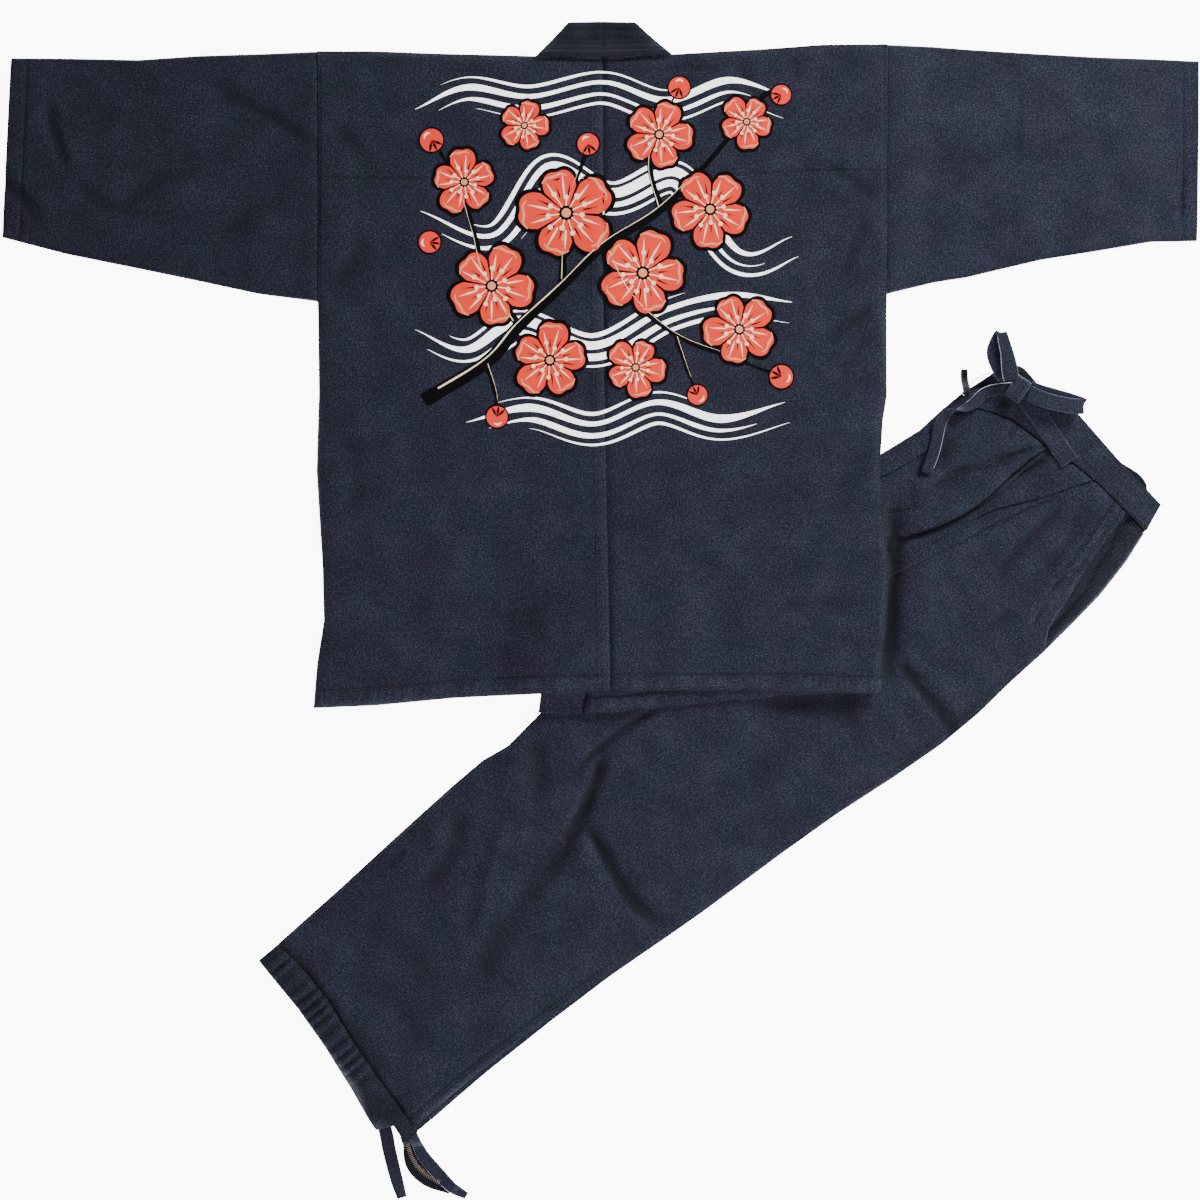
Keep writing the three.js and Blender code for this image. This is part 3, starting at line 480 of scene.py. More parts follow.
@dataclass(frozen=True)
class PrintInk:
    """Screen-print plastisol on denim: a thin matt rubbery film that lets the twill show through."""

    name: str
    colour: str
    shade: str
    # how brightly the ink glows of its own: painted light
    brightener: float = 0.0

    def make(self) -> bpy.types.Material:
        """Builds the material."""
        material, tree, shader = new_material(self.name)
        place = add_node(tree, "ShaderNodeTexCoord").outputs["Object"]
        slope = add_node(tree, "ShaderNodeMapping", {
            "Vector": place, "Rotation": (0.0, 0.0, -TWILL_SLOPE),
        })
        twill = add_node(tree, "ShaderNodeTexWave", {
            "Vector": slope.outputs[0], "Scale": wave_scale(TWILL_MM), "Distortion": 0.8,
        }, wave_type="BANDS", bands_direction="X").outputs["Fac"]
        grain = add_node(tree, "ShaderNodeTexNoise", {
            "Vector": place, "Scale": 1 / (1.4 * MM), "Detail": 3.0,
        }).outputs["Fac"]
        patch = add_node(tree, "ShaderNodeMapRange", {
            "Value": grain, "From Min": 0.52, "From Max": 0.78,
        }).outputs[0]
        coloured = add_node(tree, "ShaderNodeMix", {
            0: patch, 6: linear(self.colour), 7: linear(self.shade),
        }, data_type="RGBA")
        relief = add_node(tree, "ShaderNodeMath", {0: twill, 1: grain}, operation="ADD").outputs[0]
        bump = add_node(tree, "ShaderNodeBump", {
            "Strength": 0.3, "Distance": 0.2 * MM, "Height": relief,
        })
        # Each ink glows a little of its own, most of all the white: painted light that makes the print
        # brighter than the lamps light it.
        plug(tree, shader, {
            "Base Color": coloured.outputs[2], "Normal": bump.outputs["Normal"], "Roughness": 0.75,
            "Specular IOR Level": 0.12, "Emission Color": linear(self.colour),
            "Emission Strength": self.brightener,
        })
        return material


@dataclass(frozen=True)
class SewingThread:
    """Spun polyester sewing thread: two twisted plies, slightly glossier than the cloth."""

    name: str
    colour: str
    dark: str
    ply_mm: float = 0.8

    def make(self) -> bpy.types.Material:
        """Builds the material."""
        material, tree, shader = new_material(self.name)
        place = add_node(tree, "ShaderNodeTexCoord").outputs["Object"]
        plies = add_node(tree, "ShaderNodeTexWave", {
            "Vector": place, "Scale": wave_scale(self.ply_mm), "Distortion": 1.0,
        }, wave_type="BANDS", bands_direction="DIAGONAL").outputs["Fac"]
        coloured = add_node(tree, "ShaderNodeMix", {
            0: plies, 6: linear(self.dark), 7: linear(self.colour),
        }, data_type="RGBA")
        bump = add_node(tree, "ShaderNodeBump", {
            "Strength": 0.4, "Distance": 0.1 * MM, "Height": plies,
        })
        plug(tree, shader, {
            "Base Color": coloured.outputs[2], "Normal": bump.outputs["Normal"], "Roughness": 0.7,
            "Sheen Weight": 0.2,
        })
        return material


@dataclass(frozen=True)
class Backdrop:
    """Matt white background paper: even, with the faintest fibre."""

    name: str = "background_paper"
    colour: str = "#f6f6f6"
    fibre_mm: float = 4.0
    glow: float = 9.0

    def make(self) -> bpy.types.Material:
        """Builds the material."""
        material, tree, shader = new_material(self.name)
        place = add_node(tree, "ShaderNodeTexCoord").outputs["Object"]
        fibre = add_node(tree, "ShaderNodeTexNoise", {
            "Vector": place, "Scale": 1 / (self.fibre_mm * MM), "Detail": 4.0,
        }).outputs["Fac"]
        coloured = add_node(tree, "ShaderNodeMix", {
            0: fibre, 6: linear(self.colour), 7: linear("#ffffff"),
        }, data_type="RGBA")
        # Lit from behind as a light table is, so that the garments throw almost no shadow on it.
        plug(tree, shader, {
            "Base Color": coloured.outputs[2], "Roughness": 0.9, "Specular IOR Level": 0.1,
            "Emission Color": linear("#ffffff"), "Emission Strength": self.glow,
        })
        return material


# The cloth as it is laid


class ClothPile:
    """The cloth laid so far: a map of the height that the next layer has to clear."""

    def __init__(self, cell: float = 2.5, half: float = 690.0) -> None:
        """Starts with the bare surface.

        Args:
            cell: The side of one square of the map.
            half: How far the map reaches from its middle.
        """
        self.cell = cell
        self.half = half
        side = round(2 * half / cell) + 1
        self.heights = np.zeros((side, side))
        self.waiting: list[tuple[Field, Field, Field]] = []

    def cover(self, reach: float) -> Field:
        """Bridges every edge of the cloth below over about reach millimetres."""
        squares = max(1, round(reach / self.cell))
        return swept(swept(self.heights, squares + 1, np.max), squares, np.mean)

    def at(self, grid: Field, x: Field, y: Field) -> Field:
        """Reads a map between its squares.

        Args:
            grid: The map.
            x: Places across the plan.
            y: Places up the plan.

        Returns:
            The heights there.
        """
        most = grid.shape[0] - 1.001
        cx = np.clip((np.asarray(x) + self.half) / self.cell, 0, most)
        cy = np.clip((np.asarray(y) + self.half) / self.cell, 0, most)
        i, j = cx.astype(int), cy.astype(int)
        near = mix(grid[j, i], grid[j, i + 1], cx - i)
        far = mix(grid[j + 1, i], grid[j + 1, i + 1], cx - i)
        return mix(near, far, cy - j)

    def add(self, x: Field, y: Field, z: Field) -> None:
        """Keeps a piece's upper side until the whole layer is laid."""
        self.waiting.append((x, y, z))

    def finish_layer(self) -> None:
        """Puts the pieces of a layer, which lie side by side, on the map together."""
        for x, y, z in self.waiting:
            x, y, z = self.finer(x, y, z, 0)
            x, y, z = self.finer(x, y, z, 1)
            i = np.rint((x + self.half) / self.cell).astype(int)
            j = np.rint((y + self.half) / self.cell).astype(int)
            np.maximum.at(self.heights, (j.ravel(), i.ravel()), z.ravel() + GAP)
        self.waiting = []

    def finer(self, x: Field, y: Field, z: Field, axis: int) -> list[Field]:
        """Fills in a grid until its points are closer than the map's squares.

        Args:
            x: Places across.
            y: Places along.
            z: Heights.
            axis: Along the grid's rows or its columns.

        Returns:
            The three grids with more points.
        """
        apart = np.hypot(np.diff(x, axis=axis), np.diff(y, axis=axis)).max()
        times = max(1, math.ceil(apart / (0.5 * self.cell)))
        count = x.shape[axis]
        at = np.linspace(0, count - 1, (count - 1) * times + 1)
        low = np.minimum(at.astype(int), count - 2)
        share = (at - low).reshape((-1, 1) if axis == 0 else (1, -1))
        return [mix(np.take(v, low, axis), np.take(v, low + 1, axis), share) for v in (x, y, z)]


@dataclass
class Panel:
    """One piece of cloth as a grid, in millimetres: its places, its relief, and how worn it is, darkened
    below 0 as kept dye and painted shade.
    """

    name: str
    x: Field
    y: Field
    weft: Field
    warp: Field
    slot: Slot
    thickness: float = CLOTH
    relief: Field = field(init=False)
    wear: Field = field(init=False)
    z: Field = field(init=False)

    def __post_init__(self) -> None:
        """Starts flat and unworn."""
        self.relief, self.wear, self.z = (np.zeros(self.x.shape) for _ in range(3))

    def edge_shape(self, loft: float, reach: float = 2.2) -> Field:
        """A loft that falls to nothing at each edge, where the cloth turns down to a seam."""
        shape = np.ones(self.x.shape)
        for away in edge_distances(self.x, self.y):
            shape = shape * (1 - fade(away, reach))
        return loft * shape

    def edge_wear(self, amount: float, reach: float = 1.6, seed: int = 5) -> Field:
        """Worn edges where the amount is above 0, uneven as the rubbing was; below 0, painted shade
        darkening the edges where the cloth turns down.
        """
        nearest = np.minimum.reduce(edge_distances(self.x, self.y))
        uneven = 0.6 + 0.4 * lumps(self.weft, self.warp, 16, seed)
        return amount * uneven * fade(nearest, reach)

    def ridge_wear(self, amount: float) -> Field:
        """Worn ridges, which rub first, and painted shade darkening the troughs."""
        proud = self.relief - swept(self.relief, 2, np.mean)
        return np.clip(amount * proud, -0.6, 0.08)

    def seam_dye(self, away: Field, amount: float, reach: float = 1.3) -> Field:
        """The dye kept along a sewn line, uneven as the washing was; along an edge, painted shade.

        Args:
            away: The distance from the line.
            amount: How much of it is kept.
            reach: Half the width of the line.

        Returns:
            Wear below 0.
        """
        uneven = 0.75 + 0.25 * lumps(self.weft, self.warp, 7, 9)
        return -amount * uneven * hump(away, reach)


def grid_object(name: str, points: Field, cloth: Field, wear: Field,
                material: bpy.types.Material, wall: float, ring: bool = False) -> bpy.types.Object:
    """Makes a mesh from a grid of points, its outer side, with the wall's thickness behind it.

    Args:
        name: The piece's name.
        points: Plan places and heights in millimetres, as rows, columns and three numbers.
        cloth: The place of each point on the cloth, in millimetres.
        wear: How worn each point is; below 0, how much it is darkened, as kept dye and painted shade.
        material: The finish.
        wall: The wall's thickness in millimetres.
        ring: True where the last column closes on the first.

    Returns:
        The new object.
    """
    rows, columns = points.shape[0] - 1, points.shape[1] - 1
    sheet = bmesh.new()
    bmesh.ops.create_grid(sheet, x_segments=columns, y_segments=rows, size=0.5)
    mesh = bpy.data.meshes.new(name)
    sheet.to_mesh(mesh)
    sheet.free()
    start = np.empty(len(mesh.vertices) * 3)
    mesh.vertices.foreach_get("co", start)
    start = start.reshape(-1, 3)
    share = (start - start.min(0)) / np.maximum(np.ptp(start, axis=0), 1e-9)
    i = np.rint(share[:, 0] * columns).astype(int)
    j = np.rint(share[:, 1] * rows).astype(int)
    moved = points[j, i].copy()
    moved[:, :2] += PLAN_SHIFT
    mesh.vertices.foreach_set("co", (moved * MM).ravel())
    corners = np.empty(len(mesh.loops), int)
    mesh.loops.foreach_get("vertex_index", corners)
    uv = mesh.uv_layers.new(name="cloth")
    uv.data.foreach_set("uv", (cloth[j, i][corners] * MM).ravel())
    mesh.attributes.new("wear", "FLOAT", "POINT").data.foreach_set("value", wear[j, i])
    sheet = bmesh.new()
    sheet.from_mesh(mesh)
    if ring:
        bmesh.ops.remove_doubles(sheet, verts=sheet.verts, dist=0.02 * MM)
    for face in sheet.faces:
        face.smooth = True
    sheet.to_mesh(mesh)
    sheet.free()
    mesh.materials.append(material)
    made = bpy.data.objects.new(name, mesh)
    bpy.context.scene.collection.objects.link(made)
    if wall:
        shell = made.modifiers.new("wall", "SOLIDIFY")
        shell.thickness = wall * MM
        shell.offset = -1
    return made


def new_object(name: str, shape: bmesh.types.BMesh, finish: bpy.types.Material) -> bpy.types.Object:
    """Makes an object of a shape and its finish, puts it in the scene and frees the shape."""
    mesh = bpy.data.meshes.new(name)
    shape.to_mesh(mesh)
    shape.free()
    mesh.materials.append(finish)
    made = bpy.data.objects.new(name, mesh)
    bpy.context.scene.collection.objects.link(made)
    return made


def facing_up(x: Field, y: Field) -> bool:
    """Whether a grid's faces point up."""
    a = (x[0, 1] - x[0, 0]) * (y[1, 0] - y[0, 0])
    return a - (y[0, 1] - y[0, 0]) * (x[1, 0] - x[0, 0]) > 0


class Surface:
    """The upper side of some pieces, on which stitches and print are placed."""

    def __init__(self, pieces: Sequence[bpy.types.Object]) -> None:
        """Reads the pieces' outer meshes."""
        self.trees = [
            BVHTree.FromPolygons([v.co.copy() for v in p.data.vertices],
                                 [tuple(f.vertices) for f in p.data.polygons])
            for p in pieces
        ]

    def height(self, x: float, y: float, fallback: float = 2.0) -> float:
        """The height of the topmost piece at a place of the plan.

        Args:
            x: The place across, in millimetres.
            y: The place up the plan.
            fallback: The answer where there is no piece.

        Returns:
            The height in millimetres.
        """
        above = Vector(((x + PLAN_SHIFT[0]) * MM, (y + PLAN_SHIFT[1]) * MM, 1.0))
        found = [tree.ray_cast(above, Vector((0, 0, -1)))[0] for tree in self.trees]
        heights = [hit.z / MM for hit in found if hit is not None]
        return max(heights) if heights else fallback


@dataclass
class Workshop:
    """Where the pieces are laid: the pile of cloth, the finishes and what was made."""

    pile: ClothPile
    finishes: dict[str, bpy.types.Material]
    made: dict[str, bpy.types.Object] = field(default_factory=dict)

    def enter(self, piece: bpy.types.Object, node: str | None = None) -> None:
        """Puts a piece on the frame.

        Args:
            piece: The new piece.
            node: The solid that it stands for, if any.
        """
        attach(piece, "root")
        if node:
            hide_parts(node)
        self.made[node or piece.name] = piece
        LOG.info("%s: %d faces", piece.name, len(piece.data.polygons))

    def lay(self, panel: Panel, reach: float = 8.0,
            finish: str | None = None) -> bpy.types.Object:
        """Lays a panel on the pile, and makes its mesh.

        Args:
            panel: The piece of cloth.
            reach: How far it bridges the edges below.
            finish: The finish, if it isn't its slot's own.

        Returns:
            The new object.
        """
        if not facing_up(panel.x, panel.y):
            for key in ("x", "y", "weft", "warp", "relief", "wear"):
                setattr(panel, key, getattr(panel, key)[:, ::-1])
        below = self.pile.at(self.pile.cover(reach), panel.x, panel.y)
        panel.z = below + np.maximum(panel.relief, 0) + panel.thickness
        self.pile.add(panel.x, panel.y, panel.z)
        material = self.finishes[finish or panel.slot.value]
        piece = grid_object(
            panel.name + "_cloth", np.stack([panel.x, panel.y, panel.z], -1),
            np.stack([panel.weft, panel.warp], -1), panel.wear, material, panel.thickness - 0.1,
        )
        self.enter(piece, panel.name)
        spans = edge_distances(panel.x, panel.y)
        return piece


# Sewing


@dataclass(frozen=True)
class Stitching:
    """A row of stitches: the size of each one and how far apart they are, in millimetres."""

    length: float = 2.7
    pitch: float = 3.5
    width: float = 0.75
    proud: float = 0.12
    across: bool = False

    def run(self, name: str, lines: Sequence[Field | Path], surface: Surface,
            material: bpy.types.Material) -> bpy.types.Object:
        """Sews along some lines.

        Args:
            name: The new piece's name.
            lines: Points of each line on the plan.
            surface: What the stitches lie on.
            material: The thread.

        Returns:
            One object with all the stitches.
        """
        threads = bmesh.new()
        for line in lines:
            for x, y, turn in self.places(line):
                z = surface.height(x, y) + self.proud
                if self.across:
                    turn += math.pi / 2
                new = bmesh.ops.create_icosphere(threads, subdivisions=1, radius=1.0)["verts"]
                c, s = math.cos(turn), math.sin(turn)
                for vert in new:
                    a, b = vert.co.x * self.length / 2, vert.co.y * self.width / 2
                    vert.co = Vector((
                        (x + a * c - b * s + PLAN_SHIFT[0]) * MM,
                        (y + a * s + b * c + PLAN_SHIFT[1]) * MM,
                        (z + vert.co.z * self.width / 2) * MM,
                    ))
        for face in threads.faces:
            face.smooth = True
        return new_object(name, threads, material)

    def places(self, line: Field | Path) -> list[tuple[float, float, float]]:
        """Where each stitch of a line is.

        Args:
            line: The line's points.

        Returns:
            The middle and the direction of each stitch.
        """
        line = np.asarray(line, float)
        steps = np.diff(line, axis=0)
        lengths = np.hypot(*steps.T)
        starts = np.concatenate([[0], np.cumsum(lengths)])
        count = int(starts[-1] / self.pitch)
        found = []
        for at in (np.arange(count) + 0.5) * self.pitch:
            k = min(int(np.searchsorted(starts, at, side="right")) - 1, len(steps) - 1)
            x, y = mix(line[k], line[k + 1], (at - starts[k]) / max(lengths[k], 1e-6))
            found.append((float(x), float(y), math.atan2(steps[k, 1], steps[k, 0])))
        return found


# The jacket


@dataclass
class Jacket:
    """The jacket, which lies back up: its sizes, its panels and how they are sewn."""

    neck: tuple[float, float] = (3.0, 597.0)
    length: float = 712.0
    hem_depth: float = 19.0
    yoke: float = 138.0
    fell: float = 12.0  # the centre-back seam's allowance, felled to one side
    side_left: Line = Line((
        (-20, -313), (270, -313), (372, -312), (400, -313), (456, -314.5), (560, -308),
        (620, -306.5), (667, -314), (722, -318.5),
    ))
    side_right: Line = Line((
        (-20, 312), (372, 312), (400, 307), (456, 303), (560, 313), (620, 310), (667, 306), (722, 304),
    ))
    centre: Line = Line(((-20, 0), (270, 1), (372, 2), (400, 3), (560, 6), (620, 7), (667, 8), (722, 8)))
    shoulder: Line = Line((
        (-313, -6.5), (-250, -6.5), (-185, -4), (-75, -1), (0, 0), (78, -3), (174, -8.5),
        (241, -13.5), (312, -14),
    ))
    back_hem: Line = Line((
        (-318, 716), (-249, 713), (-165, 705), (-72, 700), (20, 697), (214, 697), (305, 701),
    ))
    right_front_hem: Line = Line((
        (-71, 720.5), (-41, 722.5), (21, 721), (63, 715), (153, 707), (305, 695),
    ))
    left_front_hem: Line = Line(((-318, 710), (-165, 699), (72, 691)))
    front_width: float = 300.0  # for the grids of the fronts
    back_width: float = 312.0
    armhole_foot: float = 285.0
    seam_wave: float = 20.0
    band_width: float = 50.0
    band_length: float = 740.0
    band_stitch: float = 3.0
    # The band's end at the neck, its free and its sewn edge there, and its free edge at the hem.
    right_band: tuple[float, float, float, float] = (-36.0, 36.0, 76.0, -71.0)
    left_band: tuple[float, float, float, float] = (-38.0, -37.0, -77.0, 70.0)
    # The left and right end at the foot, both ends at the top, and the height of the top.
    collar: tuple[float, float, float, float, float] = (-74.0, 77.0, -38.0, 36.0, -38.0)
    collar_arch: float = 1.5
    collar_width: float = 150.0
    collar_height: float = 34.0
    collar_creases: Path = ((6.0, 0.4), (12.0, 0.6), (17.0, 0.5), (26.0, 0.7))  # height and depth
    # From the armhole to the cuff: out, the top, the bottom, and how far the bottom leans outwards.
    sleeve_left: tuple[tuple[float, float, float, float], ...] = (
        (-312.2, -6.5, 269, 0), (-380, -4, 260, 0), (-445, -2, 246, 0), (-511, 2.5, 232, 2),
        (-586, 1, 216, 6), (-651, 0.5, 198, 9.5),
    )
    sleeve_right: tuple[tuple[float, float, float, float], ...] = (
        (311.2, -14, 261, 0), (363, -12, 248, 0), (401, -9, 242, 0), (481, -4, 223, 0),
        (544, -0.5, 213, 0), (603, 1.5, 203, 0), (656, 4, 202, -2),
    )
    sleeve_depth: float = 250.0
    sleeve_rise: float = 55.0  # over which a sleeve comes up to the body
    cuff_depth: float = 17.5
    loft: float = 2.8
    folds: tuple[Fold, ...] = (
        Fold(((305, 267), (272, 294), (234, 316)), -2.2, 9),
        Fold(((296, 300), (270, 333), (261, 360)), -1.7, 9),
        Fold(((292, 173), (272, 212), (268, 245)), -1.9, 9),
        Fold(((239, 118), (272, 133), (305, 162)), -1.5, 8),
        Fold(((-306, 265), (-278, 234), (-262, 195)), -1.7, 10),
        Fold(((-300, 69), (-267, 102), (-254, 146)), -1.5, 10),
        Fold(((146, -3), (156, 25), (173, 42)), -1.5, 7),
        Fold(((206, -3), (217, 30)), -1.2, 7),
        Fold(((52, 14), (96, 10), (129, 16)), -1.4, 6),
        Fold(((-179, 652), (-135, 641), (-91, 658)), -1.0, 8),
        Fold(((-289, 410), (-267, 454), (-278, 509)), -1.2, 12),
        Fold(((173, 619), (217, 597), (283, 608)), -1.0, 9),
        Fold(((290, 420), (262, 500), (280, 590)), -1.0, 15),
        Fold(((-240, 560), (-150, 520), (-60, 548)), 0.8, 22),
    )
    left_sleeve_folds: tuple[Fold, ...] = (
        Fold(((-610, 42), (-608, 69), (-599, 96), (-590, 129)), -3.6, 5),
        Fold(((-658, 138), (-636, 157), (-619, 181)), -3.6, 7, open_start=True),
        Fold(((-438, 27), (-388, 52), (-344, 74), (-313, 104)), -3.4, 7),
        Fold(((-531, 192), (-520, 151), (-482, 129), (-432, 124)), -2.0, 8),
        Fold(((-586, 135), (-558, 162), (-498, 173)), -2.0, 8),
        Fold(((-350, 150), (-392, 176), (-430, 214)), -1.9, 10),
    )
    right_sleeve_folds: tuple[Fold, ...] = (
        Fold(((382, 91), (360, 140), (355, 201)), -1.1, 14),
        Fold(((410, 42), (437, 58), (454, 102)), -0.8, 9),
        Fold(((463, 20), (457, 62), (456, 118)), -1.9, 2.6),
        Fold(((452, 150), (450, 225)), -0.9, 4, open_end=True),
        Fold(((520, 60), (560, 100), (566, 160)), -0.8, 14),
        Fold(((640, 120), (634, 160), (641, 196)), -1.6, 4),
    )

    def plan(self, out: Field, down: Field) -> tuple[Field, Field]:
        """Goes from the jacket's frame to the plan."""
        return self.neck[0] + out, self.neck[1] - down

    def body_places(self, across: Field, below: Field, inner: Callable[[Field], Field],
                    side: Line, hem: Line, inset: float = 0.0) -> tuple[Field, Field]:
        """Finds the places of one half of the body.

        Args:
            across: Shares from the inner edge to the side seam.
            below: Shares from the shoulder to the hem.
            inner: The inner edge at a height.
            side: The side seam.
            hem: The hem.
            inset: How far the panel stays inside the outline.

        Returns:
            Out and down in the jacket's frame.
        """
        out, down = np.zeros(across.shape), below * self.length
        for _ in range(ROUNDS):
            edge = side.read(down)
            out = mix(inner(down), edge - np.sign(edge) * inset, across)
            down = mix(self.shoulder.read(out) + inset, hem.read(out), below)
        return out, down

    def hem_puckers(self, out: Field, from_hem: Field, depth: float, seed: int) -> Field:
        """The small ripples that a line of stitches pulls into a hem."""
        within = smooth((depth - from_hem) / 3.0) * smooth(from_hem / 4.0)
        beyond = 0.45 * fade(np.maximum(from_hem - depth, 0), 7.0)
        ripple = lumps(out, 0 * out, 4.5, seed) + 0.6 * lumps(out, from_hem, 9.0, seed + 1)
        return 0.6 * ripple * np.maximum(within, beyond)

    def body_relief(self, panel: Panel, out: Field, down: Field, from_hem: Field, seed: int) -> Field:
        """The shape of a body panel over what it lies on.

        Args:
            panel: The panel.
            out: Places across in the jacket's frame.
            down: Places down in it.
            from_hem: The distance from the hem.
            seed: Which unevenness it has.

        Returns:
            The relief in millimetres.
        """
        relief = panel.edge_shape(self.loft)
        relief += 0.9 * lumps(out, down, 95, seed) + 0.5 * lumps(out, down, 41, seed + 1)
        relief += 0.28 * lumps(out, down, 17, seed + 2)
        relief += folds_rise(self.folds, out, down)
        relief += 0.55 * smooth((self.hem_depth - from_hem) / 2.0) * smooth(from_hem / 2.0)
        relief -= 0.9 * hump(from_hem - self.hem_depth, 1.3)
        relief += self.hem_puckers(out, from_hem, self.hem_depth, seed + 3)
        return relief * panel.edge_shape(1.0, 1.5)

    def hem_wear(self, out: Field, from_hem: Field, depth: float, seed: int) -> Field:
        """The pale marks that washing leaves across a sewn hem."""
        fine, broad = lumps(out, 0.2 * from_hem, 2.2, seed), lumps(out, from_hem, 11, seed)
        marks = np.clip(0.35 + 0.9 * fine + 0.5 * broad, 0, 1)
        return (0.04 + 0.24 * marks) * smooth((depth + 1 - from_hem) / 4.0)

    def lay_fronts(self, shop: Workshop) -> None:
        """Lays the left front and its band, and over them the right front and its band."""
        for side in Side:
            hem = side.of(self.left_front_hem, self.right_front_hem)
            top, free_top, sewn_top, free_low = side.of(self.left_band, self.right_band)
            sewn_low = free_low + self.band_width * side.value
            end = self.length + 10

            def sewn(down: Field) -> Field:
                """Where the band is sewn on, a gap away from the front's edge."""
                return np.interp(down, (top, end), (sewn_top, sewn_low)) + side.value * GAP

            across, below = np.meshgrid(
                stations(self.front_width, HIDDEN_STEP),
                stations(self.length, HIDDEN_STEP, (self.length - self.hem_depth,)))
            out, down = self.body_places(
                across, below, sewn, side.of(self.side_left, self.side_right), hem, 0.6)
            from_hem = (1 - below) * self.length
            panel = Panel(f"front_{side.word}", *self.plan(out, down), out, down, Slot.JACKET)
            seed = side.of(50, 40)
            panel.relief = self.body_relief(panel, out, down, from_hem, seed)
            # Painted shade darkens the edges and the troughs; the hem has pale worn marks, and its stitching
            # keeps its dye.
            panel.wear = (panel.edge_wear(-1.2, 1.3) + self.hem_wear(out, from_hem, self.hem_depth, seed)
                          + panel.ridge_wear(0.3) + panel.seam_dye(from_hem - self.hem_depth, 0.45))
            shop.lay(panel, 20)
            self.lay_band(shop, side, sewn_top, sewn_low, free_top, free_low, top, hem)
            shop.pile.finish_layer()

    def lay_band(self, shop: Workshop, side: Side, sewn_top: float, sewn_low: float, free_top: float,
                 free_low: float, top: float, hem: Line) -> None:
        """Lays the doubled collar band along a front's edge.

        Args:
            shop: The workshop.
            side: Which front it edges.
            sewn_top: The sewn edge at the neck.
            sewn_low: The sewn edge at the hem.
            free_top: The free edge at the neck.
            free_low: The free edge at the hem.
            top: The height of the free edge's end at the neck.
            hem: The front's hem.
        """
        end = self.length + 10
        across, below = np.meshgrid(
            stations(self.band_width, 4.5, (self.band_width - self.band_stitch,)),
            stations(self.band_length, HIDDEN_STEP))
        start = mix(top, side.of(-3.0, -5.0), across)
        bottom = hem.read(mix(free_low, sewn_low, across))
        down = mix(start, bottom, below)
        free = np.interp(down, (top, end), (free_top, free_low))
        sewn = np.interp(down, (top, end), (sewn_top, sewn_low))
        out = mix(free, sewn, across)
        panel = Panel(f"collar_front_{side.word}", *self.plan(out, down), across * self.band_width, down,
                      Slot.JACKET, HEMMED)
        relief = panel.edge_shape(0.7) + 0.25 * lumps(out, down, 22, 61)
        relief -= 0.4 * hump((1 - across) * self.band_width - self.band_stitch, 1.2)
        relief += 0.5 * waver(down, 5, 62) * smooth((down - 640) / 30)
        panel.relief = relief * panel.edge_shape(1.0, 1.5)
        panel.wear = panel.edge_wear(0.4, 1.5) + panel.ridge_wear(0.4)
        shop.lay(panel, 8)

    def lay_back(self, shop: Workshop) -> None:
        """Lays the two halves of the back, and the collar behind the neck."""
        for side in Side:
            is_right = side is Side.RIGHT
            side_seam = side.of(self.side_left, self.side_right)
            lines = (self.yoke, self.length - self.hem_depth)
            across, below = np.meshgrid(
                stations(self.back_width, SHOWN_STEP), stations(self.length, SHOWN_STEP, lines))

            def seam(down: Field) -> Field:
                """Where this half's edge lies at the centre seam."""
                return self.centre.read(down) + side.of(1.2, 0)

            out, down = self.body_places(across, below, seam, side_seam, self.back_hem)
            from_hem = (1 - below) * self.length
            panel = Panel(f"back_{side.word}", *self.plan(out, down), out, down, Slot.JACKET)
            relief = self.body_relief(panel, out, down, from_hem, 70)
            from_seam = np.abs(out - self.centre.read(down))
            if is_right:
                # The right half's edge is folded over the left half's.
                relief = relief + 0.4 * fade(from_seam, 3.0)
            yoke_row = below * self.length - self.yoke
            relief -= 0.55 * hump(yoke_row, 1.4)
            relief += 0.2 * hump(yoke_row - 4, 3.0) * lumps(out, 0 * out, 6, 77)
            if not is_right:
                relief += 0.45 * smooth((self.fell - from_seam) / 1.5) * smooth(from_seam / 2)
            relief += 0.25 * waver(down, 6, 78) * fade(from_seam, 6)
            from_side = np.abs(out - side_seam.read(down))
            by_sleeve = smooth((self.armhole_foot - down) / self.seam_wave)
            relief += 0.45 * waver(down, 8, 79) * fade(from_side, 9) * by_sleeve
            relief += 0.75 * self.loft * fade(from_side, 2.0) * by_sleeve
            panel.relief = relief
            patches = np.clip(lumps(out, down, 30, 80), 0, 1)
            armhole = 0.28 * patches * fade(from_side, 9) * by_sleeve
            # Painted shade darkens the troughs of the folds, the side edges below the armhole, the hem's
            # edge and the top edge; the patches by the armhole, the ridges and the hem's marks are worn
            # paler, and the seams keep their dye.
            panel.wear = (
                armhole + panel.ridge_wear(0.3)
                + np.clip(0.14 * folds_rise(self.folds, out, down), -0.45, 0.03)
                + self.hem_wear(out, from_hem, self.hem_depth, 81)
                + panel.seam_dye(from_hem - self.hem_depth, 0.45)
                + panel.seam_dye(yoke_row, 0.5) * smooth((np.abs(out) - 130) / 40)
                + panel.seam_dye(from_seam - self.fell * (not is_right), 0.22)
                - 1.2 * (1 - by_sleeve) * fade(from_side, 1.3)
                - 1.1 * fade(from_hem, 1.2) - 1.1 * fade(below * self.length, 1.2)
            )
            shop.lay(panel, 20)
        shop.pile.finish_layer()
        self.lay_neck_collar(shop)
        shop.pile.finish_layer()

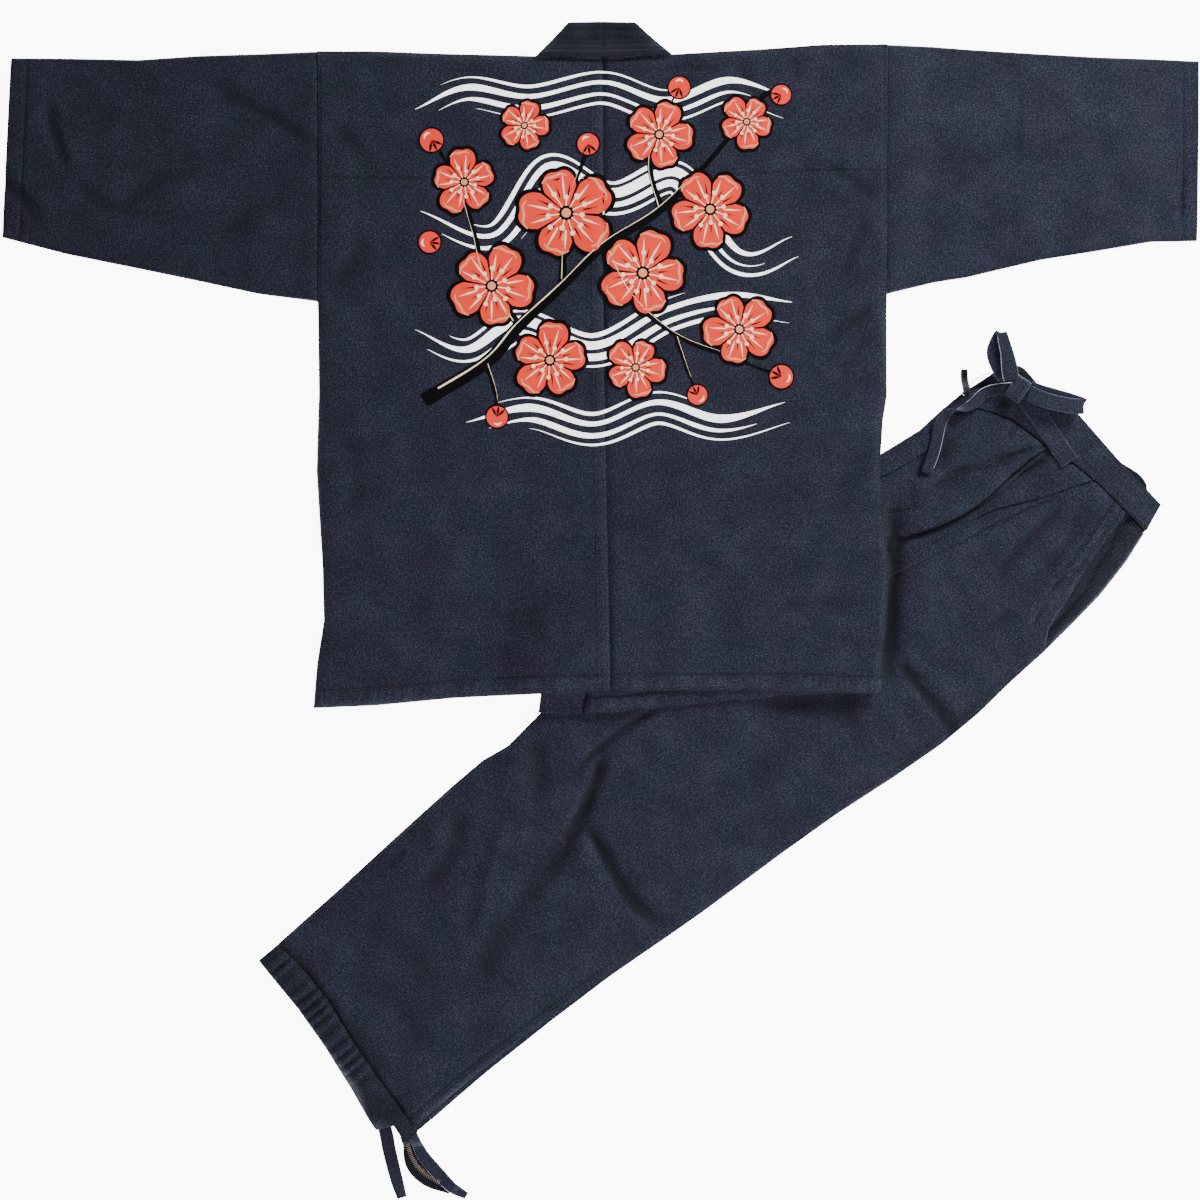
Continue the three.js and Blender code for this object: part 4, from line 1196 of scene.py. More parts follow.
    def lay_neck_collar(self, shop: Workshop) -> None:
        """Lays the doubled collar behind the neck, with the soft creases of its turn."""
        low_left, low_right, top_left, top_right, top = self.collar
        across, height = np.meshgrid(
            stations(self.collar_width, 3.2), stations(self.collar_height, 2.2, (5.0,)))
        out = mix(mix(low_left, top_left, height), mix(low_right, top_right, height), across)
        foot = self.shoulder.read(out) + 1.6
        arch = self.collar_arch * np.sin(math.pi * across) * height
        down = mix(foot, top, height) - arch
        panel = Panel("collar_back", *self.plan(out, down), out, down, Slot.JACKET, HEMMED)
        up = height * self.collar_height
        relief = panel.edge_shape(1.6, 4) + 0.2 * lumps(out, down, 12, 91)
        # Painted shade darkens the creases of the turn and the top edge; a thin line down the middle is
        # darkened too.
        shade_and_dye = 0.6 * hump(out - 2, 0.9) + 0.7 * fade(self.collar_height - up, 1.3)
        for crease, deep in self.collar_creases:
            bow = 1.6 * np.sin(math.pi * across) + 0.8 * lumps(out, 0 * out, 30, int(crease))
            line = hump(up - crease - bow, 1.3) * smooth(3 * (0.62 - abs(across - 0.5)))
            relief -= 1.3 * deep * line
            shade_and_dye += 0.55 * line
        panel.relief = relief * panel.edge_shape(1.0, 1.2)
        foot_wear = 0.2 * hump(up, 1.6) * (0.7 + 0.3 * lumps(out, 0 * out, 9, 93))
        panel.wear = foot_wear - shade_and_dye
        shop.lay(panel, 8, finish="collar_denim")

    def make_sleeve(self, shop: Workshop, side: Side, surface: Surface) -> None:
        """Makes a sleeve: a flattened tube with a fold along its top and a seam below.

        Args:
            shop: The workshop.
            side: Which sleeve it is.
            surface: The body, whose height it takes at the armhole.
        """
        table = np.array(side.of(self.sleeve_left, self.sleeve_right), float)
        length = abs(table[-1, 0] - table[0, 0])
        along = stations(length, 4.0, (length - self.cuff_depth,))
        outs = mix(table[0, 0], table[-1, 0], along)
        order = np.argsort(table[:, 0])
        top, bottom, lean = (np.interp(outs, table[order, 0], table[order, k]) for k in (1, 2, 3))
        wall = stations(self.sleeve_depth, 4.0)
        count = len(wall)
        # One turn round the tube: the lower wall upwards, the fold, the upper wall downwards, the seam.
        t = np.concatenate([1 - wall, wall])
        is_upper = np.arange(2 * count) >= count
        wide = (bottom - top)[:, None]
        away = np.minimum(t, 1 - t)[None] * wide
        out = np.repeat(outs[:, None], 2 * count, 1)
        down = top[:, None] + t[None] * wide
        out = out + np.sign(out) * lean[:, None] * t[None]
        from_cuff = np.repeat(((1 - along) * length)[:, None], 2 * count, 1)
        folds = side.of(self.left_sleeve_folds, self.right_sleeve_folds)
        seed = side.of(120, 110)
        relief = 2.2 * np.sin(math.pi * np.repeat(t[None], len(outs), 0)) ** 0.6
        relief += 0.9 * lumps(out, down, 80, seed) + 0.5 * lumps(out, down, 36, seed + 1)
        relief += 0.28 * lumps(out, down, 16, seed + 2) + folds_rise(folds, out, down)
        relief -= 0.8 * hump(from_cuff - self.cuff_depth, 1.3)
        ripple = waver(down, 6, seed + 3)
        relief += 0.35 * ripple * smooth((self.cuff_depth - from_cuff) / 3) * smooth(from_cuff / 4)
        from_hole = length - from_cuff
        relief += 0.4 * waver(down, 8, seed + 4) * fade(from_hole, 9)
        relief = np.maximum(relief, 0) * (1 - fade(away, 5.0))
        own = 3.0 + relief
        body = np.array([
            surface.height(*(float(v) for v in self.plan(
                table[0, 0] - side.value * 1.5, min(max(d, top[0] + 2), bottom[0] - 2))), 3.4)
            for d in top[0] + t * (bottom[0] - top[0])
        ])
        upper = mix(body[None], own, smooth(from_hole / self.sleeve_rise))
        wobble = 0.8 + 0.6 * waver(down, 11, seed + 8)
        upper -= 1.1 * hump(from_hole - wobble, 1.2)
        roll = np.clip(1 - away / 2.2, 0, 1) ** 2
        z = np.where(is_upper[None], upper * (1 - 0.5 * roll), upper * 0.5 * roll)
        x, y = self.plan(out, down)
        # Painted shade darkens the cuff's edge, the edges where the tube turns, and the troughs of the
        # folds; the cuff's and the armhole's seams keep their dye, and the marks and patches are worn paler.
        wear = -1.1 * fade(from_cuff, 1.2) - 1.2 * fade(away, 1.3)
        fine, broad = waver(down, 3, seed + 3), waver(down, 14, seed + 6)
        marks = np.clip(0.2 + fine + broad, 0, 1)
        wear += 0.2 * marks * smooth((self.cuff_depth + 1 - from_cuff) / 4)
        patches = np.clip(lumps(out, down, 30, seed + 7), 0, 1)
        wear += 0.22 * patches * fade(from_hole, 10)
        wear += np.clip(0.15 * folds_rise(folds, out, down), -0.55, 0.03)
        wear -= 0.4 * hump(from_cuff - self.cuff_depth, 1.3)
        wear -= 0.5 * hump(from_hole - wobble, 1.2)
        points = np.stack([x, y, z], -1)
        cloth = np.stack([out, np.where(is_upper[None], down, down + 400.0)], -1)
        points = np.concatenate([points, points[:, :1]], 1)
        cloth = np.concatenate([cloth, cloth[:, -1:]], 1)
        wear = np.concatenate([wear, wear[:, :1]], 1)
        if side is Side.LEFT:
            points, cloth, wear = points[:, ::-1], cloth[:, ::-1], wear[:, ::-1]
        name = f"sleeve_{side.word}"
        piece = grid_object(name + "_cloth", points, cloth, wear, shop.finishes[Slot.JACKET.value],
                            CLOTH - 0.2, ring=True)
        shop.enter(piece, name)

    def sewn_lines(self) -> list[Field]:
        """The lines of stitches that show on the jacket, on the plan."""
        lines = []

        def add(out: Field, down: Field) -> None:
            """Keep one line of stitches, from its places on the panel."""
            lines.append(np.stack(self.plan(out, down), -1))

        across = np.linspace(-305, 298, 90)
        hem = self.back_hem.read(across)
        add(across, hem - self.hem_depth * (hem / self.length))
        add(np.linspace(-309, 308, 90), np.full(90, self.yoke))
        for side in Side:
            table = side.of(self.sleeve_left, self.sleeve_right)
            hole = table[0]
            down = np.linspace(hole[1] + 4, hole[2] - 4, 40)
            add(np.full(40, hole[0] - side.value * 4.5), down)
            last = table[-1]
            share = np.linspace(0.02, 0.98, 30)
            lean = last[3] * share
            add(last[0] - side.value * self.cuff_depth + np.sign(last[0]) * lean,
                mix(last[1], last[2], share))
        low = np.linspace(8, self.length - 22, 80)
        add(self.centre.read(low) - self.fell, low)
        add(self.centre.read(low) - 2.4, low)
        across = np.linspace(-20, 290, 60)
        add(across, self.right_front_hem.read(across) - self.hem_depth)
        end = np.linspace(-66, -24, 12)
        add(end, self.right_front_hem.read(end) - 4)
        return lines

    def collar_lines(self) -> list[Field]:
        """The line of stitches along the collar's foot, on the plan."""
        across = np.linspace(-68, 71, 40)
        return [np.stack(self.plan(across, self.shoulder.read(across) - 5.5), -1)]

    def serged_bits(self) -> list[Field]:
        """Where a little of the overlocked edges shows past the cloth."""
        return [
            np.stack(self.plan(np.array([-314.0, -314.5]), np.array([272.0, 280.0])), -1),
            np.stack(self.plan(np.array([-74.0, -69.0]), np.array([722.0, 724.5])), -1),
        ]

    def build(self, shop: Workshop) -> None:
        """Lays and sews the whole jacket."""
        self.lay_fronts(shop)
        self.lay_back(shop)
        body = Surface([shop.made["back_left"], shop.made["back_right"]])
        for side in Side:
            self.make_sleeve(shop, side, body)
        shown = [shop.made[n] for n in (
            "back_left", "back_right", "sleeve_left", "sleeve_right", "front_right",
            "collar_front_right", "collar_back",
        )]
        sewn = Surface(shown)
        lines = self.sewn_lines() + self.collar_lines()
        navy, ecru = shop.finishes["navy_thread"], shop.finishes["ecru_thread"]
        shop.enter(Stitching().run("jacket_stitches", lines, sewn, navy))
        overlock = Stitching(length=4.0, pitch=1.6, width=0.7, across=True)
        shop.enter(overlock.run("jacket_overlock", self.serged_bits(), sewn, ecru))


# The print on the back


@dataclass
class BlossomPrint:
    """A screen print of plum blossom over a stream, in the jacket's frame, millimetres."""

    lift: float = 0.22  # the first ink over the cloth, and each one over the last
    film: float = 0.08
    bridge: float = 3.0  # how far the ink spans the groove of a seam, each way
    # Out, down, the radius and the turn in degrees, for the blossoms and the buds.
    blossoms: tuple[tuple[float, float, float, float], ...] = (
        (-122, 252, 46, 10), (-40, 172, 52, 40), (44, 238, 48, 76), (118, 168, 44, 22),
        (-152, 138, 36, 50), (62, 86, 38, 5), (150, 300, 40, 31), (-58, 334, 42, 62),
        (158, 72, 30, 15), (36, 342, 33, 80), (-86, 76, 28, 0),
    )
    buds: tuple[tuple[float, float, float, float], ...] = (
        (-188, 92, 13, 120), (84, 34, 12, 70), (196, 42, 11, 30), (196, 352, 13, -30),
        (-16, 96, 12, 100), (104, 372, 11, -60), (-190, 204, 12, 170), (-116, 396, 12, -100),
    )
    # The path, and the thickness at its start and at its end.
    branches: tuple[tuple[Path, float, float], ...] = (
        (((-196, 378), (-128, 336), (-92, 296), (-44, 252), (2, 208), (64, 168), (116, 116),
          (170, 50), (190, 36)), 17, 4),
        (((-92, 296), (-128, 240), (-142, 190), (-158, 140), (-184, 96)), 9, 3),
        (((2, 208), (30, 262), (80, 306), (140, 330), (190, 350)), 9, 3),
        (((64, 168), (52, 118), (66, 70), (82, 38)), 8, 3),
        (((-44, 252), (-40, 172), (-26, 128), (-16, 100)), 7, 3),
        (((-128, 336), (-118, 368), (-116, 392)), 6, 3),
        (((80, 306), (92, 342), (102, 368)), 5, 2.5),
    )
    # The path, the width of its widest strand, and which swell it has.
    streams: tuple[tuple[Path, float, int], ...] = (
        (((-206, 58), (-150, 34), (-80, 44), (0, 28), (70, 48), (140, 26), (206, 46)), 8, 1),
        (((-200, 170), (-120, 196), (-60, 120), (10, 150), (84, 128), (150, 214), (208, 198)), 11, 2),
        (((-206, 300), (-150, 322), (-90, 290), (-10, 318), (70, 278), (140, 262), (208, 270)), 11, 3),
        (((-150, 402), (-80, 386), (-10, 404), (60, 380), (130, 398), (200, 380)), 9, 4),
    )
    # How far a strand runs beside the path, its share of the width, and where it starts and ends.
    strands: tuple[tuple[float, float, float, float], ...] = (
        (0.0, 1.0, 0.0, 1.0), (13.0, 0.7, 0.06, 0.9), (23.0, 0.4, 0.2, 1.0), (-11.0, 0.45, 0.1, 0.72),
    )

    # Each petal's streaks: the ink, the angle from the petal's middle, the width in degrees, the reach.
    streaks: tuple[tuple[str, float, float, float], ...] = (
        ("cream", -20, 5.0, 0.80), ("black", -7, 4.0, 0.62), ("cream", 8, 4.6, 0.86),
        ("black", 21, 4.0, 0.70),
    )

    def patch(self, ink: bmesh.types.BMesh, columns: int, rows: int,
              place: Callable[[float, float], tuple[float, float]], level: int) -> None:
        """Adds one patch of ink that follows the cloth.

        Args:
            ink: The mesh of that colour.
            columns: Its divisions one way.
            rows: Its divisions the other way.
            place: Out and down for two shares.
            level: Which ink it is, counted from the cloth up.
        """
        new = bmesh.ops.create_grid(ink, x_segments=columns, y_segments=rows, size=0.5)["verts"]
        low = min(v.co.x for v in new)
        span = max(v.co.x for v in new) - low
        for vert in new:
            out, down = place((vert.co.x - low) / span, (vert.co.y - low) / span)
            x, y = self.jacket.plan(out, down)
            under = max(self.surface.height(x + aside, y) for aside in (-self.bridge, 0.0, self.bridge))
            z = under + self.lift * level
            vert.co = Vector(((x + PLAN_SHIFT[0]) * MM, (y + PLAN_SHIFT[1]) * MM, z * MM))

    def wedge(self, ink: bmesh.types.BMesh, middle: tuple[float, float], turn: float,
              spread: tuple[float, float], reach: tuple[Radius, Radius], level: int,
              cells: tuple[int, int] = (20, 14)) -> None:
        """Adds a patch between two angles and two radii round a point.

        Args:
            ink: The mesh of that colour.
            middle: The point.
            turn: The middle angle in degrees.
            spread: The first and last angle from there, in degrees.
            reach: The inner and outer radius, or what gives it for a share of the spread.
            level: Which ink it is.
            cells: Its divisions.
        """
        def place(u: float, v: float) -> tuple[float, float]:
            """A point of the sheet of ink, on the plan.

            Args:
                u: How far along it, 0 to 1.
                v: How far across it, 0 to 1.

            Returns:
                Its two coordinates in millimetres.
            """
            angle = math.radians(turn + spread[0] + (spread[1] - spread[0]) * u)
            inner, outer = (radius(u) if callable(radius) else radius for radius in reach)
            radius = inner + (outer - inner) * v
            return middle[0] + radius * math.cos(angle), middle[1] + radius * math.sin(angle)

        self.patch(ink, *cells, place, level)

    def ribbon(self, ink: bmesh.types.BMesh, path: Path, width: Callable[[float], float], level: int,
               shift: float = 0.0, part: tuple[float, float] = (0.0, 1.0)) -> None:
        """Adds a brush stroke along a path.

        Args:
            ink: The mesh of that colour.
            path: The path's points.
            width: The stroke's width for a share of its length.
            level: Which ink it is.
            shift: How far it runs beside the path.
            part: The share of the path that it covers.
        """
        line = spline(np.array(path, float), RIBBON_STEPS + 1)
        along = np.gradient(line, axis=0)
        along /= np.hypot(*along.T)[:, None]
        across = np.stack([-along[:, 1], along[:, 0]], -1)
        length = float(np.hypot(*np.diff(line, axis=0).T).sum()) * (part[1] - part[0])

        def place(u: float, v: float) -> tuple[float, float]:
            """A point of the sheet of ink, on the plan.

            Args:
                u: How far along it, 0 to 1.
                v: How far across it, 0 to 1.

            Returns:
                Its two coordinates in millimetres.
            """
            at = (part[0] + (part[1] - part[0]) * u) * RIBBON_STEPS
            k = min(int(at), RIBBON_STEPS - 1)
            point = mix(line[k], line[k + 1], at - k)
            side = mix(across[k], across[k + 1], at - k)
            return tuple(point + side * (shift + width(u) * (v - 0.5)))

        self.patch(ink, max(6, int(length / 2.5)), 3, place, level)

    def draw_blossom(self, inks: dict[str, bmesh.types.BMesh], out: float, down: float, size: float,
                     turn: float) -> None:
        """Draws one blossom: five petals, their streaks, and stamens round the middle.

        Args:
            inks: The mesh of each colour.
            out: The blossom's middle across.
            down: The blossom's middle down.
            size: Its radius.
            turn: How it is turned, in degrees.
        """
        middle = (out, down)
        for k in range(PETALS):
            face = turn + 360 / PETALS * k
            grown = 1 + 0.05 * math.sin(3.1 * k + size)

            def rim(u: float) -> float:
                """The petal's radius at a share of its width, notched in the middle."""
                notch = 0.05 * math.exp(-((u - 0.5) * 9) ** 2)
                return size * grown * (1 - 0.34 * abs(2 * u - 1) ** 2.8 - notch)

            self.wedge(inks["black"], middle, face, (-37, 37), (0.0, lambda u: 1.06 * rim(u) + 1.0), 2)
            self.wedge(inks["coral"], middle, face, (-33.5, 33.5),
                       (0.16 * size, lambda u: rim(u) - 0.6), 3)
            for name, lean, wide, far in self.streaks:
                self.wedge(inks[name], middle, face + lean, (-wide / 2, wide / 2),
                           (0.36 * size, lambda u: size * far * (1 - 0.35 * abs(2 * u - 1))),
                           4, (2, 6))
            self.wedge(inks["peach"], middle, face - 2, (-24, 16),
                       (lambda u: 0.90 * rim(0.2 + 0.6 * u) - 1.6 * math.sin(math.pi * u),
                        lambda u: 0.93 * rim(0.2 + 0.6 * u)), 4, (10, 1))
        for k in range(STAMENS):
            angle = turn + 360 * k / STAMENS
            far = size * (0.40 + 0.07 * math.sin(2.4 * k))
            thin = 0.9 + size * 0.006
            tip = (out + far * math.cos(math.radians(angle)), down + far * math.sin(math.radians(angle)))
            self.ribbon(inks["cream"], (middle, (mix(out, tip[0], 0.5), mix(down, tip[1], 0.5)), tip),
                        lambda u: thin, 5)
            self.wedge(inks["cream"], tip, 0, FULL_TURN, (0.0, 0.045 * size + 0.5), 6, (10, 1))
        self.wedge(inks["black"], middle, 0, FULL_TURN, (0.0, 0.15 * size), 6, (16, 1))
        self.wedge(inks["peach"], middle, 0, FULL_TURN, (0.0, 0.10 * size), 7, (14, 1))

    def draw_bud(self, inks: dict[str, bmesh.types.BMesh], out: float, down: float, size: float,
                 turn: float) -> None:
        """Draws one closed bud in its calyx.

        Args:
            inks: The mesh of each colour.
            out: The bud's middle across.
            down: The bud's middle down.
            size: Its radius.
            turn: Where its tip points, in degrees.
        """
        middle = (out, down)
        self.wedge(inks["black"], middle, -turn, (-180, 180), (0.0, size * 1.12), 2, (20, 3))
        self.wedge(inks["coral"], middle, -turn, (-180, 180), (0.0, size * 0.98), 3, (20, 3))
        for lean in (-38, 0, 38):
            self.wedge(inks["black"], middle, 180 - turn + lean, (-13, 13),
                       (0.0, lambda u: size * (1.0 - 0.5 * abs(2 * u - 1))), 4, (8, 3))
        self.wedge(inks["cream"], middle, -turn, (-52, 18),
                   (0.60 * size, lambda u: size * (0.64 + 0.16 * math.sin(math.pi * u))), 4, (8, 1))

    def build(self, shop: Workshop, jacket: Jacket) -> None:
        """Prints the whole design on the back.

        Args:
            shop: The workshop.
            jacket: The jacket, for its frame.
        """
        self.jacket = jacket
        self.surface = Surface([shop.made["back_left"], shop.made["back_right"]])
        inks = {name: bmesh.new() for name in ("white", "black", "coral", "peach", "cream")}
        for path, width, seed in self.streams:
            for shift, share, first, last in self.strands:
                def strand(u: float) -> float:
                    """The width of one line of the stream, at a share of its length."""
                    swell = 0.75 + 0.25 * math.sin(9 * u + 2 * seed + 5 * share)
                    return width * share * swell * min(1.0, 5 * u + 0.04, 5 * (1 - u) + 0.04)

                self.ribbon(inks["white"], path, strand, 1, shift, (first, last))
        for path, thick, thin in self.branches:
            def bark(u: float) -> float:
                """The branch's width at a share of its length."""
                return thick + (thin - thick) * u ** 0.8 + 1.2 * math.sin(17 * u + thick)

            def highlight(u: float) -> float:
                """The width of the light line on the branch, at a share of its length."""
                return 0.13 * thick * (1 - 0.7 * u) * (0.8 + 0.2 * math.sin(31 * u))

            self.ribbon(inks["black"], path, bark, 2)
            self.ribbon(inks["cream"], path, highlight, 3, -0.22 * thick, (0.03, 0.7))
        for blossom in self.blossoms:
            self.draw_blossom(inks, *blossom)
        for bud in self.buds:
            self.draw_bud(inks, *bud)
        for name, ink in inks.items():
            bmesh.ops.remove_doubles(ink, verts=ink.verts, dist=0.001 * MM)
            bmesh.ops.dissolve_degenerate(ink, dist=0.001 * MM, edges=ink.edges)
            for face in ink.faces:
                if face.normal.z < 0:
                    face.normal_flip()
                face.smooth = True
            for edge in ink.edges:
                edge.smooth = not edge.is_boundary
            piece = new_object("print_" + name, ink, shop.finishes[name + "_ink"])
            film = piece.modifiers.new("film", "SOLIDIFY")
            film.thickness = self.film * MM
            film.offset = -1
            shop.enter(piece)


# The trousers


@dataclass
class Layer:
    """One of the four layers of the folded trousers: its name and where its edges lie."""

    name: str
    is_back: bool
    inner: float
    outer: float
    ankle_outer: float = 0.0

    @property
    def is_top(self) -> bool:
        """Whether this is the layer that shows."""
        return self.name == "left_front"


@dataclass
class Trousers:
    """The trousers, folded in half: their sizes, their panels and how they are sewn."""

    ankle: tuple[float, float] = (-274.0, -487.0)
    turn: float = math.radians(39.7)
    under_hem: tuple[float, float] = (-14.0, 14.0)
    inner: Line = Line((
        (-40, -133), (6, -135), (94, -138), (182, -142.5), (264, -146), (310, -146.5), (342, -141),
        (392, -146), (500, -159), (570, -170), (645, -182), (708, -189), (763, -163), (810, -139),
        (861, -126), (911, -119), (950, -121), (994, -121.5), (1031, -118), (1064, -115),
    ))
    outer: Line = Line((
        (-40, 121), (6, 121), (94, 119.5), (182, 121.5), (264, 125), (310, 129), (342, 132),
        (392, 136), (500, 142), (570, 147), (645, 156), (708, 161.5), (763, 161.5), (810, 157.5),
        (861, 155.5), (911, 151), (950, 146.5), (994, 137), (1031, 124.5), (1064, 111.5),
    ))
    pocket_mouth: Line = Line(((866, 152), (879, 140), (937, 121), (973, 110), (1031, 95)))
    front_seam: Line = Line((
        (-122, 942), (-110, 950), (-97, 974), (-80, 986), (-61, 996), (-18, 1006), (19, 1017),
        (54, 1024), (124, 1030),
    ))
    front_top: Line = Line((
        (-120, 984), (-112, 990), (-104, 1010), (-97, 1020), (-80, 1031), (-58, 1046), (-20, 1056),
        (42, 1057.5), (111, 1062),
    ))
    back_seam: Line = Line(((-122, 972), (124, 1028)))
    back_top: Line = Line((
        (-120, 1010), (-109, 1036), (-100, 1043), (-73, 1043), (-63, 1051), (-20, 1054), (42, 1056),
        (72, 1066), (84, 1066), (92, 1061), (111, 1060),
    ))
    ankle_hem: Line = Line((
        (-133, -19), (-66, -19.5), (-16, -23.5), (33, -31), (92, -39.5), (99, -20), (124, -23),
    ))
    casing_seam: Line = Line(((-133, 9), (-92, 14), (-49, 12), (0, 4), (50, 0), (125, -4)))
    layers: tuple[Layer, ...] = (
        Layer("right_front", False, 1.5, -0.5), Layer("right_back", True, 1.0, 0.3),
        Layer("left_back", True, 0.5, 0.6), Layer("left_front", False, 0.0, 0.0, -6.0),
    )
    ankle_spread: float = 300.0
    pleat_step: float = 3.0
    pleat_rise: Line = Line((
        (640, 0), (740, 1.2), (812, 3), (863, 4), (913, 4.5), (948, 4), (991, 3.2), (1031, 2),
    ))
    first_pleat: Line = Line((
        (640, -70), (740, -60), (812, -42), (863, -23), (913, -12), (948, -13), (991, -14), (1031, -13),
    ))
    second_pleat: Line = Line((
        (640, -20), (740, -25), (812, -12), (863, 0), (913, 10), (948, 20), (991, 34), (1031, 46),
    ))
    # Each crease's place, depth and width, up the leg.
    pleat_creases: tuple[tuple[Line, Line, Line], ...] = (
        (Line(((800, -44), (826, -36), (847, -26), (865, -20.6), (884, -16), (905, -13.3), (922, -13.3),
               (941, -15), (964, -15.7), (984, -16), (1004, -13.9))),
         Line(((780, 0), (812, 4.5), (865, 5), (922, 4.5), (984, 4), (1006, 3))),
         Line(((800, 8), (847, 4.5), (884, 3.2), (940, 2.2), (1006, 1.8)))),
        (Line(((850, -21), (870, -13.2), (890, -5.7), (920, 2.4), (941, 12.2), (965, 23.7), (1005, 38.3),
               (1022, 45.3), (1031, 47))),
         Line(((850, 0), (885, 2), (920, 3), (1022, 3.6), (1031, 3))),
         Line(((850, 3.4), (920, 1.9), (1022, 1.4)))),
        (Line(((864, -61.1), (886, -60.1), (905, -55.6), (927, -46.6), (948, -37.6), (967, -33.2),
               (988, -27.3), (1004, -19.1))),
         Line(((850, 0), (890, 1.6), (948, 2.4), (1004, 2.2))),
         Line(((864, 4), (948, 2.4), (1004, 1.8)))),
    )
    loft: float = 4.6
    seam_inset: float = 9.5  # the side seam's topstitching, from the outer edge
    mouth_foot: float = 866.0  # where the pocket's mouth starts
    mouth_rows: tuple[float, float] = (7.0, 19.0)  # its topstitching
    side_stitch_top: float = 870.0
    leg_width: float = 285.0  # for the grids, as the next seven
    leg_length: float = 1000.0
    front_length: float = 1010.0
    casing_width: float = 262.0
    casing_height: float = 28.0
    waist_width: float = 245.0
    waist_height: float = 38.0
    facing_size: tuple[float, float] = (50.0, 160.0)
    waist_rows: tuple[float, float] = (6.0, 32.0)
    gather_step: float = 12.5
    folds: tuple[Fold, ...] = (
        Fold(((502, -68), (452, -75), (409, -76), (377, -75)), -3.0, 5),
        Fold(((425, -73), (383, -45), (348, -28), (310, -13)), -5.3, 8),
        Fold(((310, -13), (278, -8), (219, 10), (169, 26), (126, 52)), -3.0, 15, open_start=True),
        Fold(((351, -28), (350, 2), (341, 44), (337, 78), (345, 122)), -5.3, 7.5),
        Fold(((298, -85), (240, -52), (202, -15), (167, -1)), 2.7, 9),
        Fold(((337, -16), (321, 15), (310, 39)), 1.6, 16),
        Fold(((372, -128), (345, -89), (329, -74)), -3.4, 11),
        Fold(((351, -135), (328, -122), (309, -105)), 2.4, 12),
        Fold(((270, -133), (232, -95), (183, -81), (152, -82)), -2.7, 11),
        Fold(((242, -129), (224, -121), (198, -111)), 1.9, 10),
        Fold(((184, -128), (150, -122)), -2.0, 7),
        Fold(((850, -90), (808, -40), (770, 6), (732, 46), (701, 78)), -6.8, 9),
        Fold(((842, -36), (825, -5), (790, 37), (756, 66)), 3.9, 22),
        Fold(((828, -72), (846, -60), (853, -57)), -1.6, 2.2, open_start=True, open_end=True),
        Fold(((853, -57), (862, -72), (866, -84)), -1.6, 2.2, open_start=True, open_end=True),
        Fold(((866, -72), (900, -74), (930, -66)), 1.9, 8),
        Fold(((735, 56), (729, 94), (732, 131), (731, 160)), -5.7, 6.5, open_end=True),
        Fold(((722, 70), (712, 106), (715, 140)), 1.8, 14),
        Fold(((748, 80), (750, 118), (748, 150)), 2.0, 9),
        Fold(((1005, -14), (978, -17), (953, -16), (926, -13), (888, -16), (847, -25), (822, -36),
              (802, -46)), -3.6, 8, open_start=True),
        Fold(((1001, -5), (979, -9), (956, -13)), -2.7, 4),
        Fold(((1004, -18), (981, -32), (959, -41), (933, -50), (908, -63), (879, -63)), -3.0, 4.5),
        Fold(((1001, -54), (987, -54), (975, -52)), -2.0, 4),
        Fold(((987, 44), (924, 49), (895, 54), (867, 61)), -2.3, 7),
        Fold(((989, 73), (956, 81), (909, 90)), -1.9, 8),
        Fold(((868, 99), (853, 98), (821, 96)), -1.6, 8),
        Fold(((577, 1), (619, 28), (668, 72)), -3.2, 18),
        Fold(((700, 30), (660, 60), (640, 100)), -1.9, 12),
        Fold(((560, 40), (520, 70), (500, 118)), -1.4, 16),
        Fold(((90, -100), (120, -40), (96, 20)), -1.6, 16),
        Fold(((48, -60), (70, 0), (60, 70)), -1.4, 13),
        Fold(((870, -90), (905, -82), (935, -88)), -2.4, 8),
        Fold(((780, -100), (740, -70), (700, -60)), -3.0, 14),
    )
    fly_bottom: float = 790.0
    fly_top: float = 940.0
    fly_width: float = 22.0
    fly_stitch: float = 3.0
    facing_bottom: float = 858.0
    facing_underlap: float = 26.0
    # On the plan: where overlocked edges show.
    waist_overlock: tuple[Path, ...] = (
        ((399, 228), (405, 233), (412, 242), (428, 250), (434, 243)),
        ((457, 258), (466, 252), (476, 243), (487, 234), (494, 230)),
        ((399, 227), (398.6, 240), (398.8, 252)), ((404.6, 228), (404.4, 240), (404.2, 252)),
    )
    ankle_overlock: tuple[Path, ...] = (
        ((-212.5, -598), (-208, -612), (-201, -624), (-190, -634), (-176, -641)),
    )
    facing_crease: Line = Line(((886, 141), (937, 134), (961, 123), (986, 116), (1012, 103)))

    def plan(self, up: Field, side: Field) -> tuple[Field, Field]:
        """Goes from the trousers' frame to the plan."""
        c, s = math.cos(self.turn), math.sin(self.turn)
        return self.ankle[0] + up * c + side * s, self.ankle[1] + up * s - side * c

    def inner_edge(self, layer: Layer, up: Field) -> Field:
        """A layer's edge at the inseam and the rise."""
        return self.inner.read(up) + layer.inner

    def outer_edge(self, layer: Layer, up: Field) -> Field:
        """A layer's edge at the side seam."""
        spread = layer.ankle_outer * smooth((self.ankle_spread - up) / self.ankle_spread)
        return self.outer.read(up) + layer.outer + spread

    def front_columns(self) -> Field:
        """Shares across the top layer, as a band number and a share in it, closer at each pleat."""
        near = np.array([0.95, 0.965, 0.98, 0.99])
        step = np.array([0, 0.25, 0.5, 0.75])
        return np.concatenate([
            [0, 0.01, 0.03], np.linspace(0.07, 0.93, 26), near,
            1 + step, 2 + np.linspace(0, 1, 15)[:-1], 3 + step,
            4 + 1 - near[::-1] - 0.01, 4 + np.linspace(0.06, 0.92, 30), [4.955, 4.98, 4.992, 5],
        ])

